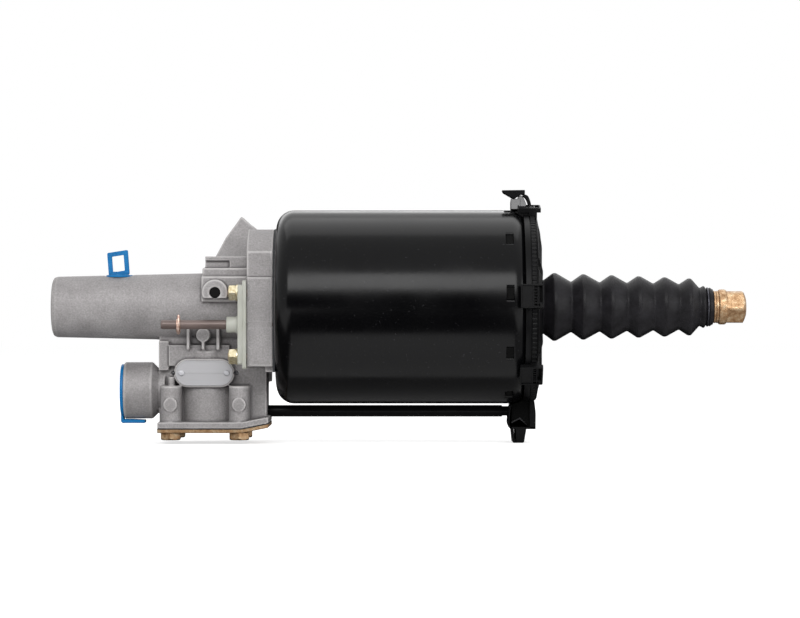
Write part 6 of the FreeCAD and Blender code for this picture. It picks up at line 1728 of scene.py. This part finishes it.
@dataclass
class Studio:
    """White floor and surroundings, soft lamps and the camera of the picture."""

    origin: Array
    distance: float = 2.2
    centre_x: float = 84.1
    centre_z: float = -1.4
    view_width: float = 0.547
    sensor_mm: float = 36.0
    world_level: float = 0.42
    floor_half: float = 6.0
    floor_gap: float = 0.0003
    floor_tone: str = "#ececec"
    floor_glow: float = 0.64
    dark_left: float = -0.1
    dark_right: float = 0.27
    card_gap: float = 0.0001
    card_tone: str = "#101010"
    card_left: float = -1.6
    card_right: float = 1.8
    card_far: float = 2.6
    card_height: float = 0.7
    table_left: float = -0.008
    table_right: float = 0.182
    table_front: float = -0.185
    shade_front: float = -0.045
    table_back: float = 0.04

    def build(self) -> None:
        """Set up the view transform, the world, the floor, the lamps and the camera."""
        bpy.context.scene.view_settings.view_transform = "Standard"
        self.world()
        self.floor()
        self.cards()
        self.lamps()
        self.camera()

    def seen(self, tree: bpy.types.NodeTree) -> Socket:
        """Build what is 1 for camera, glossy and transmission rays and 0 for others.

        Args:
            tree: Where its nodes go.

        Returns:
            The output with that value.
        """
        path = add(tree, "LightPath")
        first = add(tree, "Math", {0: path.outputs["Is Camera Ray"],
                                   1: path.outputs["Is Glossy Ray"]}, operation="MAXIMUM")
        return add(tree, "Math", {0: first.outputs[0], 1: path.outputs["Is Transmission Ray"]},
                   operation="MAXIMUM").outputs[0]

    def world(self) -> None:
        """White where it is seen, and a plain level where it lights the object."""
        world = bpy.data.worlds.new("white_studio")
        world.use_nodes = True
        tree = world.node_tree
        tree.nodes.clear()
        light = add(tree, "Background", {"Color": linear("#ffffff"), "Strength": self.world_level})
        shown = add(tree, "Background", {"Color": linear("#ffffff"), "Strength": 1.0})
        both = add(tree, "MixShader", {0: self.seen(tree), 1: light.outputs[0],
                                       2: shown.outputs[0]})
        add(tree, "OutputWorld", {"Surface": both.outputs[0]})
        bpy.context.scene.world = world

    def sheet(self, name: str, tone: str, corners: Sequence[Sequence[float]],
              glow: float = 0.0) -> bpy.types.Object:
        """Add one flat matt sheet of the studio.

        Args:
            name: Its name.
            tone: Its sRGB hex colour.
            corners: Its four corners, metres.
            glow: How much white is added where it is seen.

        Returns:
            The object.
        """
        paint = bpy.data.materials.new(name)
        paint.use_nodes = True
        tree = paint.node_tree
        tree.nodes.clear()
        surface = add(tree, "BsdfDiffuse", {"Color": linear(tone)}).outputs[0]
        if glow:
            level = add(tree, "Math", {0: self.seen(tree), 1: glow}, operation="MULTIPLY")
            white = add(tree, "Emission", {"Color": linear("#ffffff"),
                                           "Strength": level.outputs[0]})
            surface = add(tree, "AddShader", {0: surface, 1: white.outputs[0]}).outputs[0]
        add(tree, "OutputMaterial", {"Surface": surface})
        mesh = bpy.data.meshes.new(name)
        mesh.from_pydata([tuple(corner) for corner in corners], [], [(0, 1, 2, 3)])
        mesh.materials.append(paint)
        made = linked(name, mesh)
        made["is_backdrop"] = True
        return made

    def floor(self) -> None:
        """Matt white floor under the foot, whose glow makes it white where no shadow falls."""
        low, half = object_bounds()[0][2] - self.floor_gap, self.floor_half
        self.sheet("studio_floor", self.floor_tone, self.level(-half, -half, half, half, low),
                   self.floor_glow)

    def level(self, left: float, near: float, right: float, far: float,
              height: float) -> list[tuple[float, float, float]]:
        """Corners of a level rectangle."""
        return [(left, near, height), (right, near, height), (right, far, height),
                (left, far, height)]

    def cards(self) -> None:
        """Dark cards round the object that only show in its gloss.

        They stand for the dark room round the white table, whose reflection edges the bright bands
        on black paint and gives plated metal its contrast. The table stays white in front of the
        air cylinder; under most of it a grey card is painted shadow, the cylinder's own shade on
        the table as its gloss shows it.
        """
        along, across = (float(value) * MM for value in self.origin[:2])
        left, right = along + self.card_left, along + self.card_right
        near, far = across + self.table_front, across + self.table_back
        start, end = along + self.table_left, along + self.table_right
        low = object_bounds()[0][2] - self.card_gap
        floors = {
            "front": (along + self.dark_left, across - self.card_far,
                      along + self.dark_right, near, self.card_tone),
            "back": (left, far, right, across + self.card_far, self.card_tone),
            "left": (left, near, start, far, "#505050"),
            "right": (end, near, right, far, "#c0c0c0"),
            # Painted shadow: grey card under the air cylinder, its shade on the table in gloss.
            "under": (start, across + self.shade_front, end, far, "#bababa"),
        }
        for name, (*edges, tone) in floors.items():
            self.card(f"{name}_floor_card", tone, self.level(*edges, low))
        for name, side in (("front", -1), ("back", 1)):
            place, top = across + side * self.card_far, self.card_height
            self.card(f"{name}_wall_card", self.card_tone, [
                (left, place, low), (right, place, low), (right, place, top), (left, place, top),
            ])

    def card(self, name: str, tone: str, corners: Sequence[Sequence[float]]) -> None:
        """Add one card that shows in gloss alone.

        Args:
            name: Its name.
            tone: Its sRGB hex colour.
            corners: Its four corners, metres.
        """
        made = self.sheet(name, tone, corners)
        for rays in ("camera", "diffuse", "transmission", "shadow"):
            setattr(made, f"visible_{rays}", False)

    def lamps(self) -> None:
        """Soft boxes: the key above the front, overhead, right, behind, and a low matt fill."""
        self.soft_box("front_key", (0.0, -1.62, 0.93), (1.9, 0.62), 23.0)
        self.soft_box("overhead", (0.0, 0.6, 1.5), (1.9, 1.1), 8.0)
        self.soft_box("right_box", (1.6, -0.45, 0.3), (0.5, 0.7), 5.5)
        self.soft_box("back_key", (0.0, 1.72, 0.75), (1.9, 0.4), 3.0)
        fill = self.soft_box("low_fill", (-0.1, -1.1, -0.05), (1.9, 0.12), 6.0)
        fill.visible_glossy = False

    def soft_box(self, name: str, place: tuple[float, float, float],
                 size: tuple[float, float], power: float) -> bpy.types.Object:
        """Add a rectangular lamp that looks at the object's middle.

        Args:
            name: Its name.
            place: Where it is from the object's middle, metres.
            size: Its width and height, metres.
            power: Watts.

        Returns:
            The lamp's object.
        """
        lamp = bpy.data.lights.new(name, "AREA")
        lamp.shape = "RECTANGLE"
        lamp.size, lamp.size_y = size
        lamp.energy = power
        held = linked(name, lamp)
        low, high = (np.array(corner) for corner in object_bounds())
        held.location = ((low + high) / 2 + np.array(place)).tolist()
        held.rotation_euler = Vector(place).to_track_quat("Z", "Y").to_euler()
        return held

    def camera(self) -> None:
        """Stand square to the side, far off, with the picture's framing."""
        lens = bpy.data.cameras.new("side_view")
        lens.sensor_width = self.sensor_mm
        lens.lens = self.sensor_mm * self.distance / self.view_width
        eye = linked("side_view", lens)
        aim = (self.origin + np.array([self.centre_x, 0, self.centre_z])) * MM
        eye.location = (aim[0], aim[1] - self.distance, aim[2])
        eye.rotation_euler = (np.pi / 2, 0, 0)
        bpy.context.scene.camera = eye


def main() -> None:
    """Build every sub-assembly in order."""
    logging.basicConfig(level=logging.INFO, format="%(name)s %(message)s")
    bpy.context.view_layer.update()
    low, high = (np.array(corner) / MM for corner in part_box("air_cylinder"))
    origin = np.array([low[0], (low[1] + high[1]) / 2, (low[2] + high[2]) / 2])
    Studio(origin).build()
    for kind in (CastHousing, ValveCover, NamePlate, TransitPlugs, WearIndicator, Studs,
                 AirCylinder, EndCover, BreatherPipe, Boot, PushRodTip, InnerPieces):
        kind(origin).build()


if __name__ == "__main__":
    main()
